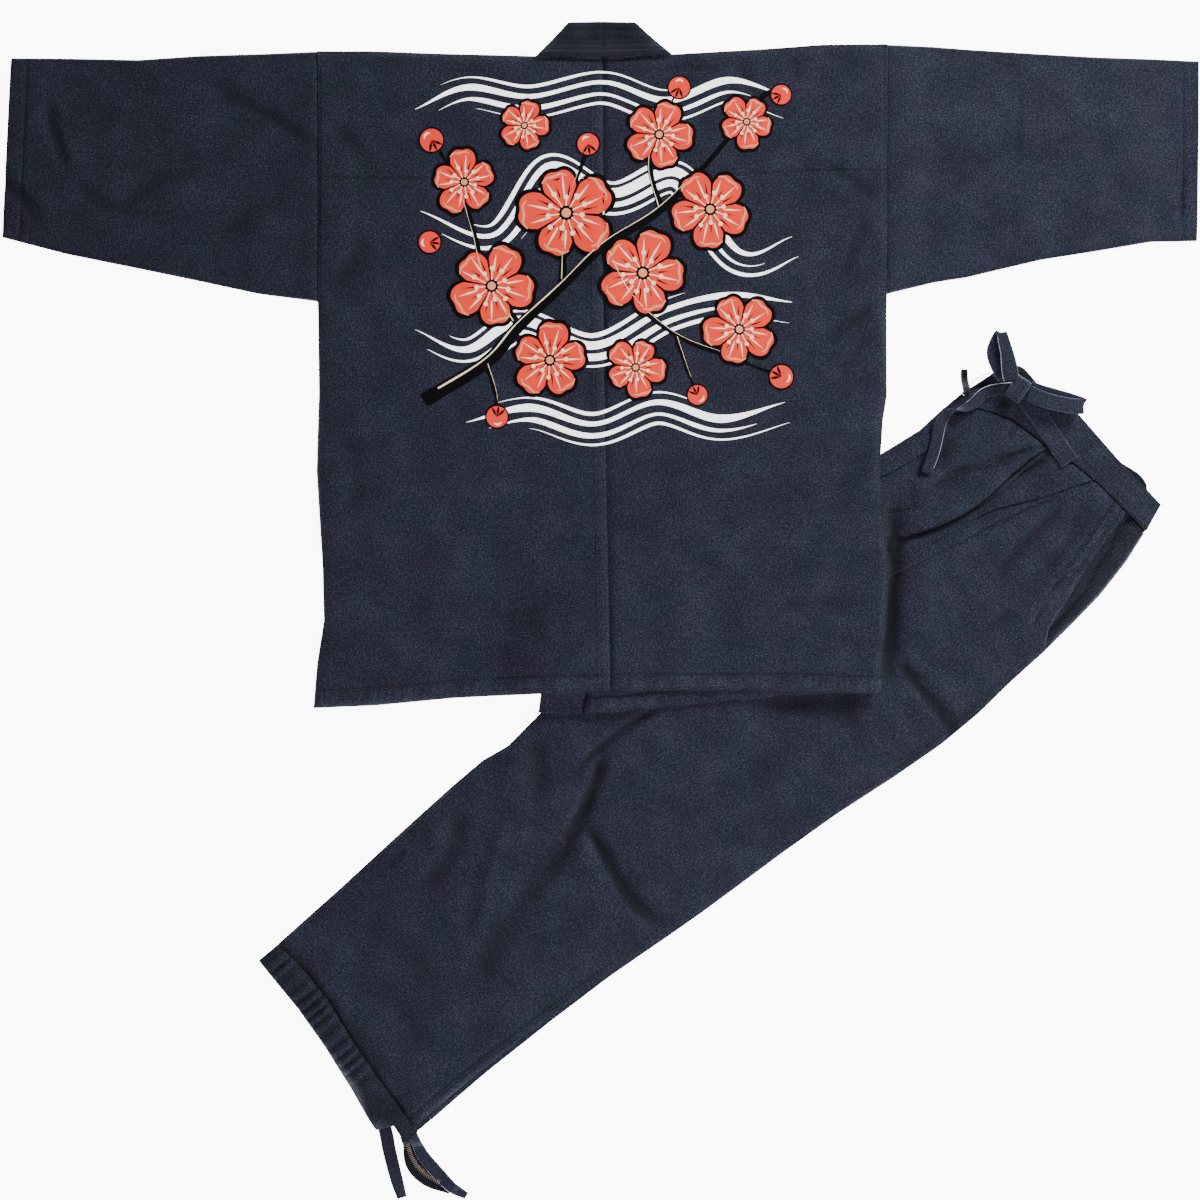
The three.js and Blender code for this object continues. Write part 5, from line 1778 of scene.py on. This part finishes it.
    def lay_panels(self, shop: Workshop, ties: "Ties") -> None:
        """Lays the four layers from the lowest up.

        Args:
            shop: The workshop.
            ties: The ties, of which the ankle's go in under the top layer.
        """
        for layer in self.layers:
            if layer.is_top:
                self.lay_facing(shop, layer)
                ties.lay_ankle(shop)
                self.lay_front(shop, layer)
            else:
                self.lay_under(shop, layer)
            self.lay_casing(shop, layer)
            self.lay_waistband(shop, layer)
            shop.pile.finish_layer()

    def lay_under(self, shop: Workshop, layer: Layer) -> None:
        """Lays one of the hidden panels, with a few soft folds of its own."""
        across, above = np.meshgrid(stations(self.leg_width, 8), stations(self.leg_length, 8))
        up, side = self.leg_length * above, 0 * across
        seam = self.back_seam if layer.is_back else self.front_seam
        for _ in range(ROUNDS):
            side = mix(self.inner_edge(layer, up), self.outer_edge(layer, up), across)
            up = mix(self.under_hem[1] + GAP + ROOM, seam.read(side), above)
        panel = Panel("trouser_" + layer.name, *self.plan(up, side), side, up, Slot.TROUSERS)
        seed = 200 + 10 * self.layers.index(layer)
        relief = panel.edge_shape(0.5) + 0.25 * lumps(side, up, 60, seed)
        relief += 0.15 * lumps(side, up, 30, seed + 1)
        panel.relief = np.maximum(relief, 0) * panel.edge_shape(1.0)
        panel.wear = panel.edge_wear(0.5)
        shop.lay(panel, 8)

    def lay_front(self, shop: Workshop, layer: Layer) -> None:
        """Lays the top layer with its pleats and folds."""
        bands, above = np.meshgrid(self.front_columns(), stations(self.front_length, 3.0))
        up, side = self.leg_length * above, 0 * bands
        for _ in range(ROUNDS):
            inner = self.inner_edge(layer, up)
            outer = self.outer_edge(layer, up)
            cut = np.minimum(outer, self.pocket_mouth.read(up))
            outer = np.where(up > self.mouth_foot, cut, outer)
            first, second = self.first_pleat.read(up), self.second_pleat.read(up)
            step = self.pleat_step
            stops = np.stack([inner, first - 0.6, first + step, second - 0.6, second + step, outer])
            band = np.minimum(bands.astype(int), 4)
            rows, columns = np.indices(bands.shape)
            side = mix(stops[band, rows, columns], stops[band + 1, rows, columns], bands - band)
            up = mix(self.casing_seam.read(side) + GAP + ROOM, self.front_seam.read(side), above)
        panel = Panel("trouser_left_front", *self.plan(up, side), side, up, Slot.TROUSERS)
        across = np.clip((side - inner) / (outer - inner), 0, 1)
        relief = self.loft * np.sin(math.pi * across) ** 0.45 * smooth((up + 12) / 40)
        relief += self.pleats(up, side) + folds_rise(self.folds, up, side)
        relief += 0.9 * lumps(side, up, 78, 231) + 0.55 * lumps(side, up, 37, 232)
        relief += 0.3 * lumps(side, up, 17, 233)
        from_seam = self.front_seam.read(side) - up
        gathers = lumps(side, 0.2 * up, 9, 234) * fade(from_seam, 22)
        relief += 0.7 * gathers
        from_casing = up - self.casing_seam.read(side)
        relief += 1.1 * self.gather(side) * fade(from_casing, 16)
        from_side = outer - side
        low = smooth((self.side_stitch_top - up) / 12)
        relief -= 1.7 * low * hump(from_side - self.seam_inset, 1.8)
        relief += 0.5 * low * hump(from_side - 4.5, 3.2) * (1 + waver(up, 9, 235))
        mouth = smooth((up - self.mouth_foot) / 12)
        for inset in self.mouth_rows:
            relief -= 1.5 * mouth * hump(from_side - inset, 1.6)
        relief += 1.2 * mouth * hump(from_side, 8)
        relief = np.maximum(relief, 0.1)
        panel.relief = relief * panel.edge_shape(1.0, 2.0)
        seam_marks = np.clip(waver(up, 7, 236) + 0.4, 0, 1) * hump(from_side - 4, 4)
        stitched = from_side - self.seam_inset
        near, far = self.mouth_rows
        # Painted shade darkens the edges, the troughs of the folds and pleats, and the edge of the pocket's
        # mouth; the stitched lines keep their dye, and the marks, the band by the mouth and the gathers are
        # worn paler.
        panel.wear = (
            panel.edge_wear(-1.3, 1.3) + panel.ridge_wear(0.3) + 0.12 * seam_marks
            + np.clip(0.11 * (folds_rise(self.folds, up, side) + self.pleats(up, side)), -0.7, 0.03)
            + 0.26 * mouth * smooth((far - from_side) / 3) * (0.7 + 0.5 * lumps(side, up, 7, 237))
            + 0.08 * np.clip(gathers, 0, 1)
            + panel.seam_dye(stitched, 0.6) * low + panel.seam_dye(from_side, 0.7) * mouth
            + (panel.seam_dye(from_side - near, 0.5) + panel.seam_dye(from_side - far, 0.8)) * mouth
            + panel.seam_dye(from_casing, 0.5, 2.0)
        )
        shop.lay(panel, 8)

    def pleats(self, up: Field, side: Field) -> Field:
        """How much the two pleats raise a place: the cloth towards the centre lies higher."""
        rise = self.pleat_rise.read(up)
        total = np.zeros(up.shape)
        for line, spread in ((self.first_pleat, 34), (self.second_pleat, 20)):
            past = side - line.read(up)
            crest = np.where(past < 0, hump(past, spread), smooth(1 - past / self.pleat_step))
            total = np.maximum(total, rise * crest)
        for line, deep, wide in self.pleat_creases:
            away = side - line.read(up)
            total = total - deep.read(up) * hump(away, wide.read(up))
        return total

    def gather(self, side: Field) -> Field:
        """The uneven ridges that the tie gathers at the ankle, from 0 to 1."""
        phase = side / self.gather_step + 1.1 * lumps(side, 0 * side, 37, 241)
        phase += 0.25 * lumps(side, 0 * side, 13, 243)
        ridges = (0.5 + 0.5 * np.sin(2 * math.pi * phase)) ** 1.2
        uneven = np.clip(0.62 + 0.55 * lumps(side, 0 * side, 24, 242), 0.1, 1)
        return ridges * uneven * smooth((side + 134) / 22) * smooth((112 - side) / 120)

    def lay_casing(self, shop: Workshop, layer: Layer) -> None:
        """Lays the doubled hem at the ankle, in which the tie runs."""
        steps = (2.2, 2.6) if layer.is_top else (8.0, 6.0)
        across, above = np.meshgrid(
            stations(self.casing_width, steps[0]), stations(self.casing_height, steps[1]))
        side = mix(self.inner_edge(layer, 0.0), self.outer.read(0.0), across)
        hem = self.ankle_hem.read(side) if layer.is_top else self.under_hem[0]
        seam = self.casing_seam.read(side) if layer.is_top else self.under_hem[1]
        up = mix(hem, seam, above)
        panel = Panel("ankle_casing_" + layer.name, *self.plan(up, side), side, up, Slot.TROUSERS, HEMMED)
        relief = panel.edge_shape(0.8, 3) + 0.2 * lumps(side, up, 14, 250)
        if layer.is_top:
            crown = np.sin(math.pi * np.clip(above, 0, 1)) ** 0.6
            relief += 3.6 * self.gather(side) * (0.35 + 0.65 * crown)
        panel.relief = np.maximum(relief, 0) * panel.edge_shape(1.0, 1.6)
        crests = np.clip(self.gather(side) - 0.45, 0, 1)
        # Painted shade darkens the edges.
        panel.wear = panel.edge_wear(-1.1, 1.3) + panel.ridge_wear(0.3)
        if layer.is_top:
            # The crests of the gathers are worn paler, and painted shade darkens the hollows between them.
            panel.wear = panel.wear + 0.2 * crests - 0.9 * np.clip(0.4 - self.gather(side), 0, 1)
        shop.lay(panel, 8)

    def lay_waistband(self, shop: Workshop, layer: Layer) -> None:
        """Lays the doubled waistband over one panel, with elastic in it."""
        seam = self.back_seam if layer.is_back else self.front_seam
        top = self.back_top if layer.is_back else self.front_top
        step = 2.6 if layer.is_top else 6.0
        across, above = np.meshgrid(
            stations(self.waist_width, step), stations(self.waist_height, 2.6, self.waist_rows))
        low = mix(self.inner_edge(layer, 970.0 if not layer.is_back else 990.0),
                  self.outer_edge(layer, 1031.0), across)
        high = mix(self.inner_edge(layer, 1060.0), self.outer_edge(layer, 1060.0), across)
        side = mix(low, high, above)
        up = mix(seam.read(low) + GAP + ROOM, top.read(side), above)
        panel = Panel("waistband_" + layer.name, *self.plan(up, side), side, up, Slot.TROUSERS, HEMMED)
        relief = panel.edge_shape(0.9, 3) + 0.2 * lumps(side, up, 15, 260)
        if layer.is_top:
            elastic = lumps(side, 0.15 * up, 7, 261)
            relief += 0.35 * elastic * np.sin(math.pi * above)
            height = above * self.waist_height
            for line in self.waist_rows:
                relief -= 0.45 * hump(height - line, 1.2)
            panel.wear = 0.16 * hump(height - 4, 3.5) * (0.6 + 0.4 * lumps(side, 0 * up, 8, 262))
            # Painted shadow: a dark spot on the waistband under the knot.
            panel.wear = panel.wear - 0.9 * hump(np.hypot(up - 999, side + 82), 7)
        panel.relief = np.maximum(relief, 0) * panel.edge_shape(1.0, 1.6)
        # On the top layer, painted shade darkens the edges; the hidden layers' edges are worn paler.
        panel.wear = panel.wear + panel.edge_wear(-1.1 if layer.is_top else 0.3, 1.3)
        # The inside of the back waistband shows past the front's, in a denim darkened as painted shade.
        finish = "denim_reverse" if layer.is_back else None
        shop.lay(panel, 8, finish=finish)

    def lay_facing(self, shop: Workshop, layer: Layer) -> None:
        """Lays the piece behind the pocket's mouth."""
        across, above = np.meshgrid(*map(stations, self.facing_size, (3.2, 3.6)))
        up = mix(self.facing_bottom, self.front_seam.read(110.0) - 1, above)
        start = self.pocket_mouth.read(up) - self.facing_underlap
        side = mix(start, self.outer_edge(layer, up) - 1, across)
        panel = Panel("pocket_facing", *self.plan(up, side), side, up, Slot.TROUSERS)
        from_mouth = side - self.pocket_mouth.read(up)
        relief = 0.3 + 2.2 * smooth((from_mouth - 0.5) / 9) + 0.3 * lumps(side, up, 22, 271)
        relief -= 2.4 * hump(side - self.facing_crease.read(up), 3.2)
        panel.relief = np.maximum(relief, 0) * panel.edge_shape(1.0, 1.6)
        crease = hump(side - self.facing_crease.read(up), 2.2)
        from_edge = self.outer_edge(layer, up) - 1 - side
        lip = hump(from_edge - 3.0, 1.5) * smooth((912 - up) / 25)
        # Painted shade darkens the whole facing inside the pocket, and more along its crease and its outer
        # edge; a paler lip runs inside that edge low down.
        panel.wear = -0.3 - 0.6 * crease + 0.8 * lip - 1.2 * fade(from_edge, 1.3)
        shop.lay(panel, 8)
        shop.pile.finish_layer()

    def lay_fly(self, shop: Workshop) -> None:
        """Lays the strip that edges the front opening."""
        across, above = np.meshgrid(
            stations(self.fly_width, 2.4, (self.fly_width - self.fly_stitch,)),
            stations(self.fly_top - self.fly_bottom, 3.0))
        up = mix(self.fly_bottom, self.fly_top, above)
        side = self.inner.read(up) + 1 + self.fly_width * across
        panel = Panel("fly_placket", *self.plan(up, side), side, up, Slot.TROUSERS)
        relief = panel.edge_shape(0.6) + 0.45 * waver(up, 9, 281) * np.sin(math.pi * across)
        relief -= 0.4 * hump((1 - across) * self.fly_width - self.fly_stitch, 1.2)
        panel.relief = np.maximum(relief, 0) * panel.edge_shape(1.0, 1.4)
        marks = np.clip(waver(up, 9, 281), 0, 1) * np.sin(math.pi * across)
        panel.wear = panel.edge_wear(0.4, 1.2) + 0.25 * marks
        shop.lay(panel, 8)
        shop.pile.finish_layer()

    def sewn_lines(self) -> list[Field]:
        """The lines of stitches that show on the trousers, on the plan."""
        top = self.layers[-1]
        lines = []

        def add(up: Field, side: Field) -> None:
            """Keep one line of stitches, from its places on the leg."""
            lines.append(np.stack(self.plan(up, side), -1))

        up = np.linspace(5, 862, 160)
        add(up, self.outer_edge(top, up) - self.seam_inset)
        up = np.linspace(5, 500, 90)
        add(up, self.inner_edge(top, up) + 3.0)
        side = np.linspace(-128, 108, 60)
        add(self.casing_seam.read(side) - 2.2, side)
        add(self.front_seam.read(side * 0.9) + 7.0, side * 0.9)
        add(self.front_top.read(side * 0.85) - 6.0, side * 0.85)
        up = np.linspace(872, 1020, 40)
        for inset in self.mouth_rows:
            add(up, self.pocket_mouth.read(up) - inset)
        up = np.linspace(self.fly_bottom + 4, self.fly_top - 4, 30)
        add(up, self.inner.read(up) + self.fly_width - 2.0)
        side = np.linspace(-62, -92, 12)
        add(mix(858, 828, (side + 92) / 30), side)
        return lines

    def build(self, shop: Workshop, ties: "Ties") -> None:
        """Lays the whole trousers.

        Args:
            shop: The workshop.
            ties: The ties that are laid among the panels.
        """
        self.lay_panels(shop, ties)
        self.lay_fly(shop)

    def sew(self, shop: Workshop) -> None:
        """Adds the stitches."""
        shown = [shop.made[n] for n in (
            "trouser_left_front", "ankle_casing_left_front", "waistband_left_front", "fly_placket",
        )]
        stitches = Stitching().run(
            "trouser_stitches", self.sewn_lines(), Surface(shown), shop.finishes["navy_thread"])
        shop.enter(stitches)
        for name, nodes, lines, thread, length, pitch in (
            ("waist_overlock", ("waistband_left_back", "waistband_right_back", "waistband_left_front",
                                "waist_loop"), self.waist_overlock, "brown_thread", 3.4, 1.5),
            ("ankle_overlock", ("ankle_tie_under", "ankle_tie_back"), self.ankle_overlock,
             "ecru_thread", 6.5, 2.1),
        ):
            under = Surface([shop.made[node] for node in nodes])
            overlock = Stitching(length=length, pitch=pitch, width=0.9, across=True)
            shop.enter(overlock.run(name, lines, under, shop.finishes[thread]))


# The ties


@dataclass
class Ties:
    """The flat denim ties: the jacket's hidden ones, the ankle's and the bow at the waist.

    Each stop of a tie gives its place on the plan, its lift over what it lies on, its width, and how
    far it is rolled over about its own run, in degrees. All in millimetres.
    """

    thickness: float = 1.8
    waist_loop: Stops = ((402, 226, 0, 8, 0), (401, 240, 0, 8, 0), (401, 254, 0, 7.5, 0))
    right_tail: Stops = (
        (459, 229, 1.5, 17, 0), (468, 217, 0.5, 19, 0), (478, 206, 0, 21, 0), (495, 180, 0, 21, 0),
        (514.5, 150.5, 0, 20.5, 0),
    )
    left_tail: Stops = (
        (452, 232, 1, 13, 0), (440, 231, 0, 13, 0), (428, 229, 0, 13, 0), (419, 225, 0, 12, 0),
        (410, 216, 0, 12, 8), (401, 210.5, 0, 11, 25), (393, 208.5, 0.8, 10, 65), (386, 207, 1.0, 10, 115),
        (379, 203, 0, 12, 155), (373, 193, 0, 13, 172), (370, 180, 0, 13, 180), (366, 162, 0, 13, 180),
        (357.5, 139, 0, 12.5, 180),
    )
    loop_up: Stops = (
        (449, 240, 6.5, 17, 0), (447, 252, 7.5, 18, 0), (444.5, 268, 7.5, 15, 0), (441, 282, 7, 13, 0),
        (439.3, 289.5, 6, 12, 0), (438, 291.6, 4, 11.5, 0), (436, 289.5, 2.2, 12, 0), (433, 281, 1.6, 15, 0),
        (431, 270, 1.4, 17, 0), (436, 256, 1.6, 18, 0), (443, 243, 2.2, 17, 0),
    )
    loop_side: Stops = (
        (468, 226, 6.5, 17, 0), (480, 220.5, 6.5, 17, 0), (497, 215.5, 5.5, 17, 0), (513, 212.5, 4.5, 17, 0),
        (524, 211.5, 3.6, 17, 0), (528.4, 212.2, 2.6, 16.5, 0), (524.5, 215, 1.6, 15.5, 0),
        (512, 219.5, 1.2, 15, 0), (496, 224, 1.0, 15, 0), (480, 229, 1.4, 14, 0), (470, 233, 2.0, 14, 0),
    )
    knot_middle: tuple[float, float] = (457.0, 231.0)
    knot_turn: float = math.radians(56)
    knot_length: float = 27.0
    knot_width: float = 19.0
    knot_height: float = 5.6
    knot_wall: float = 1.6
    knot_strap: float = 34.0  # the length of strap that goes round it
    ankle_ties: dict[str, Stops] = field(default_factory=lambda: {
        "ankle_tie_under": (
            (-218, -570, 0, 12, 0), (-211, -596, 0, 13, 0), (-206, -620, 0, 17, 0),
            (-190, -637, 0, 17, 0), (-164, -648, 0, 13, 0),
        ),
        "ankle_tie_back": (
            (-213, -567, 0, 11, 0), (-203.5, -591, 0, 11, 0), (-196, -609, 0, 13, 0),
            (-179, -630, 0, 14, 0), (-162, -647, 0, 12, 0), (-147, -656, 0, 8, 0),
        ),
        "ankle_tie_front": (
            (-248, -538, 0, 15, 0), (-236, -585, 0, 15, 0), (-232, -606, 0, 15, 0),
            (-224, -638, 0, 14, 0), (-218, -658, 0, 11, 0),
        ),
    })
    front_ties: dict[str, Stops] = field(default_factory=lambda: {
        "front_tie_left": ((10, 222, 0, 24, 0), (-110, 214, 0, 24, 0), (-226, 190, 0, 22, 0)),
        "front_tie_right": ((306, 250, 0, 24, 0), (180, 262, 0, 24, 0), (66, 250, 0, 22, 0)),
    })

    def strap(self, shop: Workshop, name: str, stops: Stops,
              base: float | None = None, bright: float = 0.6, step: float = 3.0,
              pale: Sequence[tuple[int, float, float]] = ()) -> None:
        """Makes a flat tie with rounded edges along its stops.

        Args:
            shop: The workshop.
            name: The solid that it stands for.
            stops: The tie's stops.
            base: The height that lifts are counted from, or None for what it lies on.
            bright: How worn its edges are; below 0 they are darker instead.
            step: The distance between two rows.
            pale: The edges painted pale, partly rubbed white and partly painted highlight: which side, and
                from and to which share of the run.
        """
        stops = np.array(stops, float)
        rough = spline(stops, 60)
        length = float(np.hypot(*np.diff(rough[:, :2], axis=0).T).sum())
        count = max(8, round(length / step))
        x, y, lift, width, roll = spline(stops, count + 1).T
        roll = np.radians(roll)
        if base is None:
            near = swept(shop.pile.heights, 1, np.max)
            across = np.stack([-np.gradient(y), np.gradient(x)])
            across /= np.hypot(*across)
            under = np.max([
                shop.pile.at(near, x + across[0] * width * k, y + across[1] * width * k)
                for k in (-0.45, 0, 0.45)
            ], axis=0)
            z = swept(under[:, None], 2, np.mean)[:, 0]
            z = np.maximum(z, under - 0.3) + self.thickness / 2
        else:
            z = np.full(x.shape, base + self.thickness / 2)
        z = z + lift + np.abs(np.sin(roll)) * width * 0.42
        middle = np.stack([x, y, z], -1)
        along = np.gradient(middle, axis=0)
        along /= np.linalg.norm(along, axis=1)[:, None]
        level = np.cross(np.array([0.0, 0.0, 1.0]), along)
        level /= np.linalg.norm(level, axis=1)[:, None]
        if base is not None:
            level = self.steady(level, np.hypot(along[:, 0], along[:, 1]))
        upright = np.cross(along, level)
        c, s = np.cos(roll)[:, None], np.sin(roll)[:, None]
        sideways, normal = level * c + upright * s, upright * c - level * s
        # The section, once round: the upper face, a round edge, the lower face, the other edge.
        half = np.array([
            -1, -0.93, -0.8, -0.4, 0, 0.4, 0.8, 0.93, 1, 0.93, 0.8, 0.4, 0, -0.4, -0.8, -0.93, -1,
        ])
        deep = np.array([0, 0.8, 1, 0.94, 0.9, 0.94, 1, 0.8, 0, -0.8, -1, -1, -1, -1, -1, -0.8, 0])
        points = (
            middle[:, None] + sideways[:, None] * (half[None, :, None] * (width / 2)[:, None, None])
            + normal[:, None] * (deep[None, :, None] * self.thickness / 2)
        )
        points[..., 2] += 0.25 * lumps(points[..., 0], points[..., 1], 11, 300) * (np.abs(half) < 0.85)
        run = np.concatenate([[0], np.cumsum(np.linalg.norm(np.diff(middle, axis=0), axis=1))])
        round_it = np.cumsum(np.concatenate([[0], np.hypot(np.diff(half) * 9, np.diff(deep))]))
        cloth = np.stack(np.broadcast_arrays(round_it[None], run[:, None]), -1)
        uneven = 0.72 + 0.28 * lumps(run[:, None] + 0 * half, 0 * half + 3.0, 13, 301)
        wear = bright * np.clip((np.abs(half) - 0.86) / 0.07, 0, 1)[None] * uneven
        end_wear = fade(np.minimum(run, run[-1] - run), 1.5)[:, None]
        wear = np.maximum(wear, 0.5 * bright * end_wear)
        piece = grid_object(
            name + "_cloth", points, cloth, wear, shop.finishes[Slot.STRAP.value], 0.0, ring=True)
        piece.data.materials.append(shop.finishes["rubbed_edge"])
        wide = len(half) - 1
        for side, first, last in pale:
            for row in range(round(first * count), round(last * count)):
                for column in (7, 8) if side > 0 else (0, wide - 1):
                    piece.data.polygons[row * wide + column].material_index = 1
        self.close_ends(piece)
        shop.enter(piece, name)
        if base is None:
            top = points[:, 1:8]
            shop.pile.add(top[..., 0], top[..., 1], top[..., 2])

    def steady(self, level: Field, flatness: Field) -> Field:
        """Keeps a loop's width pointing one way where its run turns back.

        Args:
            level: The direction of the width at each row.
            flatness: How level the run is there, from 0 to 1.

        Returns:
            Directions that turn evenly from the first row to the last.
        """
        signs = np.where(level @ level[0] < 0, -1, 1)
        sure = np.clip((flatness - 0.75) / 0.2, 0.0, 1) + 1e-4
        kept = level * (signs * sure)[:, None]
        at = np.arange(len(level))
        near = hump(at[:, None] - at[None], 3.0)
        kept = near @ kept
        return kept / np.linalg.norm(kept, axis=1)[:, None]

    def close_ends(self, piece: bpy.types.Object) -> None:
        """Closes a tube's two open ends, and turns its faces outwards."""
        tube = bmesh.new()
        tube.from_mesh(piece.data)
        open_edges = [e for e in tube.edges if e.is_boundary]
        bmesh.ops.holes_fill(tube, edges=open_edges, sides=0)
        bmesh.ops.recalc_face_normals(tube, faces=tube.faces)
        tube.to_mesh(piece.data)
        tube.free()

    def lay_hidden(self, shop: Workshop) -> None:
        """Lays the jacket's own ties, which its fronts cover."""
        for name, stops in self.front_ties.items():
            self.strap(shop, name, stops, step=8.0)
        shop.pile.finish_layer()

    def lay_ankle(self, shop: Workshop) -> None:
        """Lays the ends of the ankle's tie."""
        pale = {"ankle_tie_back": ((-1, 0.3, 0.8),), "ankle_tie_front": ((-1, 0.5, 0.95),)}
        for name, stops in self.ankle_ties.items():
            self.strap(shop, name, stops, pale=pale.get(name, ()), step=2.0)
            if name == "ankle_tie_under":
                # It lies with the inside of its cloth up, in a denim darkened as painted shade.
                shop.made[name].data.materials[0] = shop.finishes["denim_reverse"]
                shop.pile.finish_layer()
        shop.pile.finish_layer()

    def tie_bow(self, shop: Workshop) -> None:
        """Ties the bow at the waist: two tails, two loops and the knot over them."""
        self.strap(shop, "waist_loop", self.waist_loop, bright=-0.5)
        self.strap(shop, "waist_tie_tail_right", self.right_tail)
        shop.pile.finish_layer()
        self.strap(shop, "waist_tie_tail_left", self.left_tail, bright=0.1,
                   step=2.0, pale=((-1, 0.0, 0.97),))
        shop.pile.finish_layer()
        # The loop shows its inside, in a denim darkened as painted shade.
        shop.made["waist_loop"].data.materials[0] = shop.finishes["denim_reverse"]
        base = float(shop.pile.at(shop.pile.cover(8), *self.knot_middle))
        for name, stops, pale in (("waist_tie_loop_up", self.loop_up, (1, 0.0, 0.4)),
                                  ("waist_tie_loop_side", self.loop_side, (1, 0.55, 0.8))):
            self.strap(shop, name, stops, base - 1.0, step=2.0,
                       pale=(pale,))
        self.make_knot(shop, base)

    def make_knot(self, shop: Workshop, base: float) -> None:
        """Makes the knot: one turn of the tie, drawn tight over the loops.

        Args:
            shop: The workshop.
            base: The height of what it sits on.
        """
        across, along = np.meshgrid(np.linspace(0, 1, 15), np.linspace(-1, 1, 25))
        c, s = math.cos(self.knot_turn), math.sin(self.knot_turn)
        a = self.knot_length / 2 * np.sin(along * math.pi / 2)
        w = self.knot_width * (across - 0.5) * (1 - 0.10 * np.abs(along) ** 3)
        x = self.knot_middle[0] + a * c + w * s
        y = self.knot_middle[1] + a * s - w * c
        crown = np.clip(1 - np.abs(along) ** 3.2, 0, 1)
        edge = 1 - np.abs(2 * across - 1) ** 6
        z = base + 0.6 + self.knot_height * crown + 1.3 * edge
        z = z + 0.4 * np.sin(across * 9 + 1) * crown + 0.3 * lumps(x, y, 7, 311)
        wear = 0.55 * fade(np.minimum(across, 1 - across) * self.knot_width, 1.0)
        points = np.stack([x, y, z], -1)
        if not facing_up(x, y):
            points, wear, across, along = (v[:, ::-1] for v in (points, wear, across, along))
        cloth = np.stack([across * self.knot_width, along * self.knot_length / 2], -1)
        piece = grid_object("waist_tie_knot_cloth", points, cloth, wear,
                            shop.finishes[Slot.STRAP.value], self.knot_wall)
        shop.enter(piece, "waist_tie_knot")


# The studio


@dataclass
class Studio:
    """A pale floor, soft light from the right, and the camera straight above."""

    view: float = 1.32  # metres across the picture
    middle: tuple[float, float] = (-0.00075, 0.01154)
    lens: float = 85.0
    sensor: float = 36.0
    floor_size: float = 14.0
    floor_height: float = -0.0004
    camera_above: float = 0.004  # the height of the cloth that the picture's width is measured at
    key_power: float = 80.0
    low_power: float = 55.0
    fill_power: float = 7.5
    sky: float = 0.11

    def build(self, paper: bpy.types.Material) -> None:
        """Sets up the floor, the lights and the camera.

        Args:
            paper: The floor's finish.
        """
        ground = bmesh.new()
        bmesh.ops.create_grid(ground, x_segments=1, y_segments=1, size=self.floor_size / 2)
        for vert in ground.verts:
            vert.co.z = self.floor_height
        new_object("floor", ground, paper)
        self.light("key_light", (1.6, 1.85, 1.0), 0.6, self.key_power, (0.90, 1.0, 0.97))
        self.light("low_light", (1.25, -1.9, 0.9), 0.6, self.low_power, (0.90, 1.0, 0.97))
        self.light("fill_light", (0.05, -0.15, 1.3), 0.8, self.fill_power, (1.0, 0.80, 1.0))
        world = bpy.data.worlds.new("studio")
        bpy.context.scene.world = world
        world.use_nodes = True
        background = world.node_tree.nodes["Background"]
        background.inputs["Color"].default_value = (1.0, 0.86, 1.0, 1.0)
        background.inputs["Strength"].default_value = self.sky
        eye = bpy.data.objects.new("camera", bpy.data.cameras.new("camera"))
        eye.data.lens = self.lens
        eye.data.sensor_width = self.sensor
        eye.location = (*self.middle, self.view * self.lens / self.sensor + self.camera_above)
        bpy.context.scene.collection.objects.link(eye)
        bpy.context.scene.camera = eye
        LOG.info("studio: camera %.2f m up", eye.location.z)

    def light(self, name: str, place: tuple[float, float, float], size: float, power: float,
              tint: tuple[float, float, float]) -> None:
        """Hangs a soft square light that looks at the middle of the floor.

        Args:
            name: The light's name.
            place: Where it is, in metres.
            size: The side of the square.
            power: Its power in watts.
            tint: Its colour.
        """
        lamp = bpy.data.lights.new(name, "AREA")
        lamp.shape = "SQUARE"
        lamp.size = size
        lamp.energy = power
        lamp.color = tint
        holder = bpy.data.objects.new(name, lamp)
        holder.location = place
        holder.rotation_euler = (-Vector(place)).to_track_quat("-Z", "Y").to_euler()
        bpy.context.scene.collection.objects.link(holder)


def make_finishes() -> dict[str, bpy.types.Material]:
    """Makes every material, by the name that the pieces use."""
    finishes = [
        Denim(Slot.JACKET.value), Denim(Slot.TROUSERS.value, mottle_mm=36.0),
        Denim(Slot.STRAP.value, middle="#1f2331"),
        Denim("collar_denim", deep="#08070d", middle="#11111b", pale="#2d3042"),
        # The inside of the cloth, made darker than the face as painted shade.
        Denim("denim_reverse", deep="#040407", middle="#08090e", pale="#171a24"),
        SewingThread("navy_thread", "#2a3044", "#12151f"),
        SewingThread("ecru_thread", "#c9b79a", "#8d7a60"),
        SewingThread("brown_thread", "#43352a", "#1e1712"),
        # The pale of the ties' turned edges: partly rubbed white, partly painted highlight.
        SewingThread("rubbed_edge", "#c4ccdc", "#8b94ab"),
        # The last number of each ink is how brightly it glows: painted light.
        PrintInk("white_ink", "#ffffff", "#eceef2", 1.7), PrintInk("black_ink", "#020203", "#060609"),
        PrintInk("coral_ink", "#f2402f", "#c8301f", 0.4), PrintInk("peach_ink", "#f69a70", "#d98a66", 0.3),
        PrintInk("cream_ink", "#fbe3c0", "#dcc19c", 0.6),
    ]
    return {finish.name: finish.make() for finish in finishes}


def main() -> None:
    """Loads the frame and builds the set on it."""
    logging.basicConfig(level=logging.INFO, format="%(message)s")
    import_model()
    shop = Workshop(ClothPile(), make_finishes())
    Studio().build(Backdrop().make())
    ties = Ties()
    ties.lay_hidden(shop)
    trousers = Trousers()
    trousers.build(shop, ties)
    jacket = Jacket()
    jacket.build(shop)
    BlossomPrint().build(shop, jacket)
    ties.tie_bow(shop)
    trousers.sew(shop)


if __name__ == "__main__":
    main()
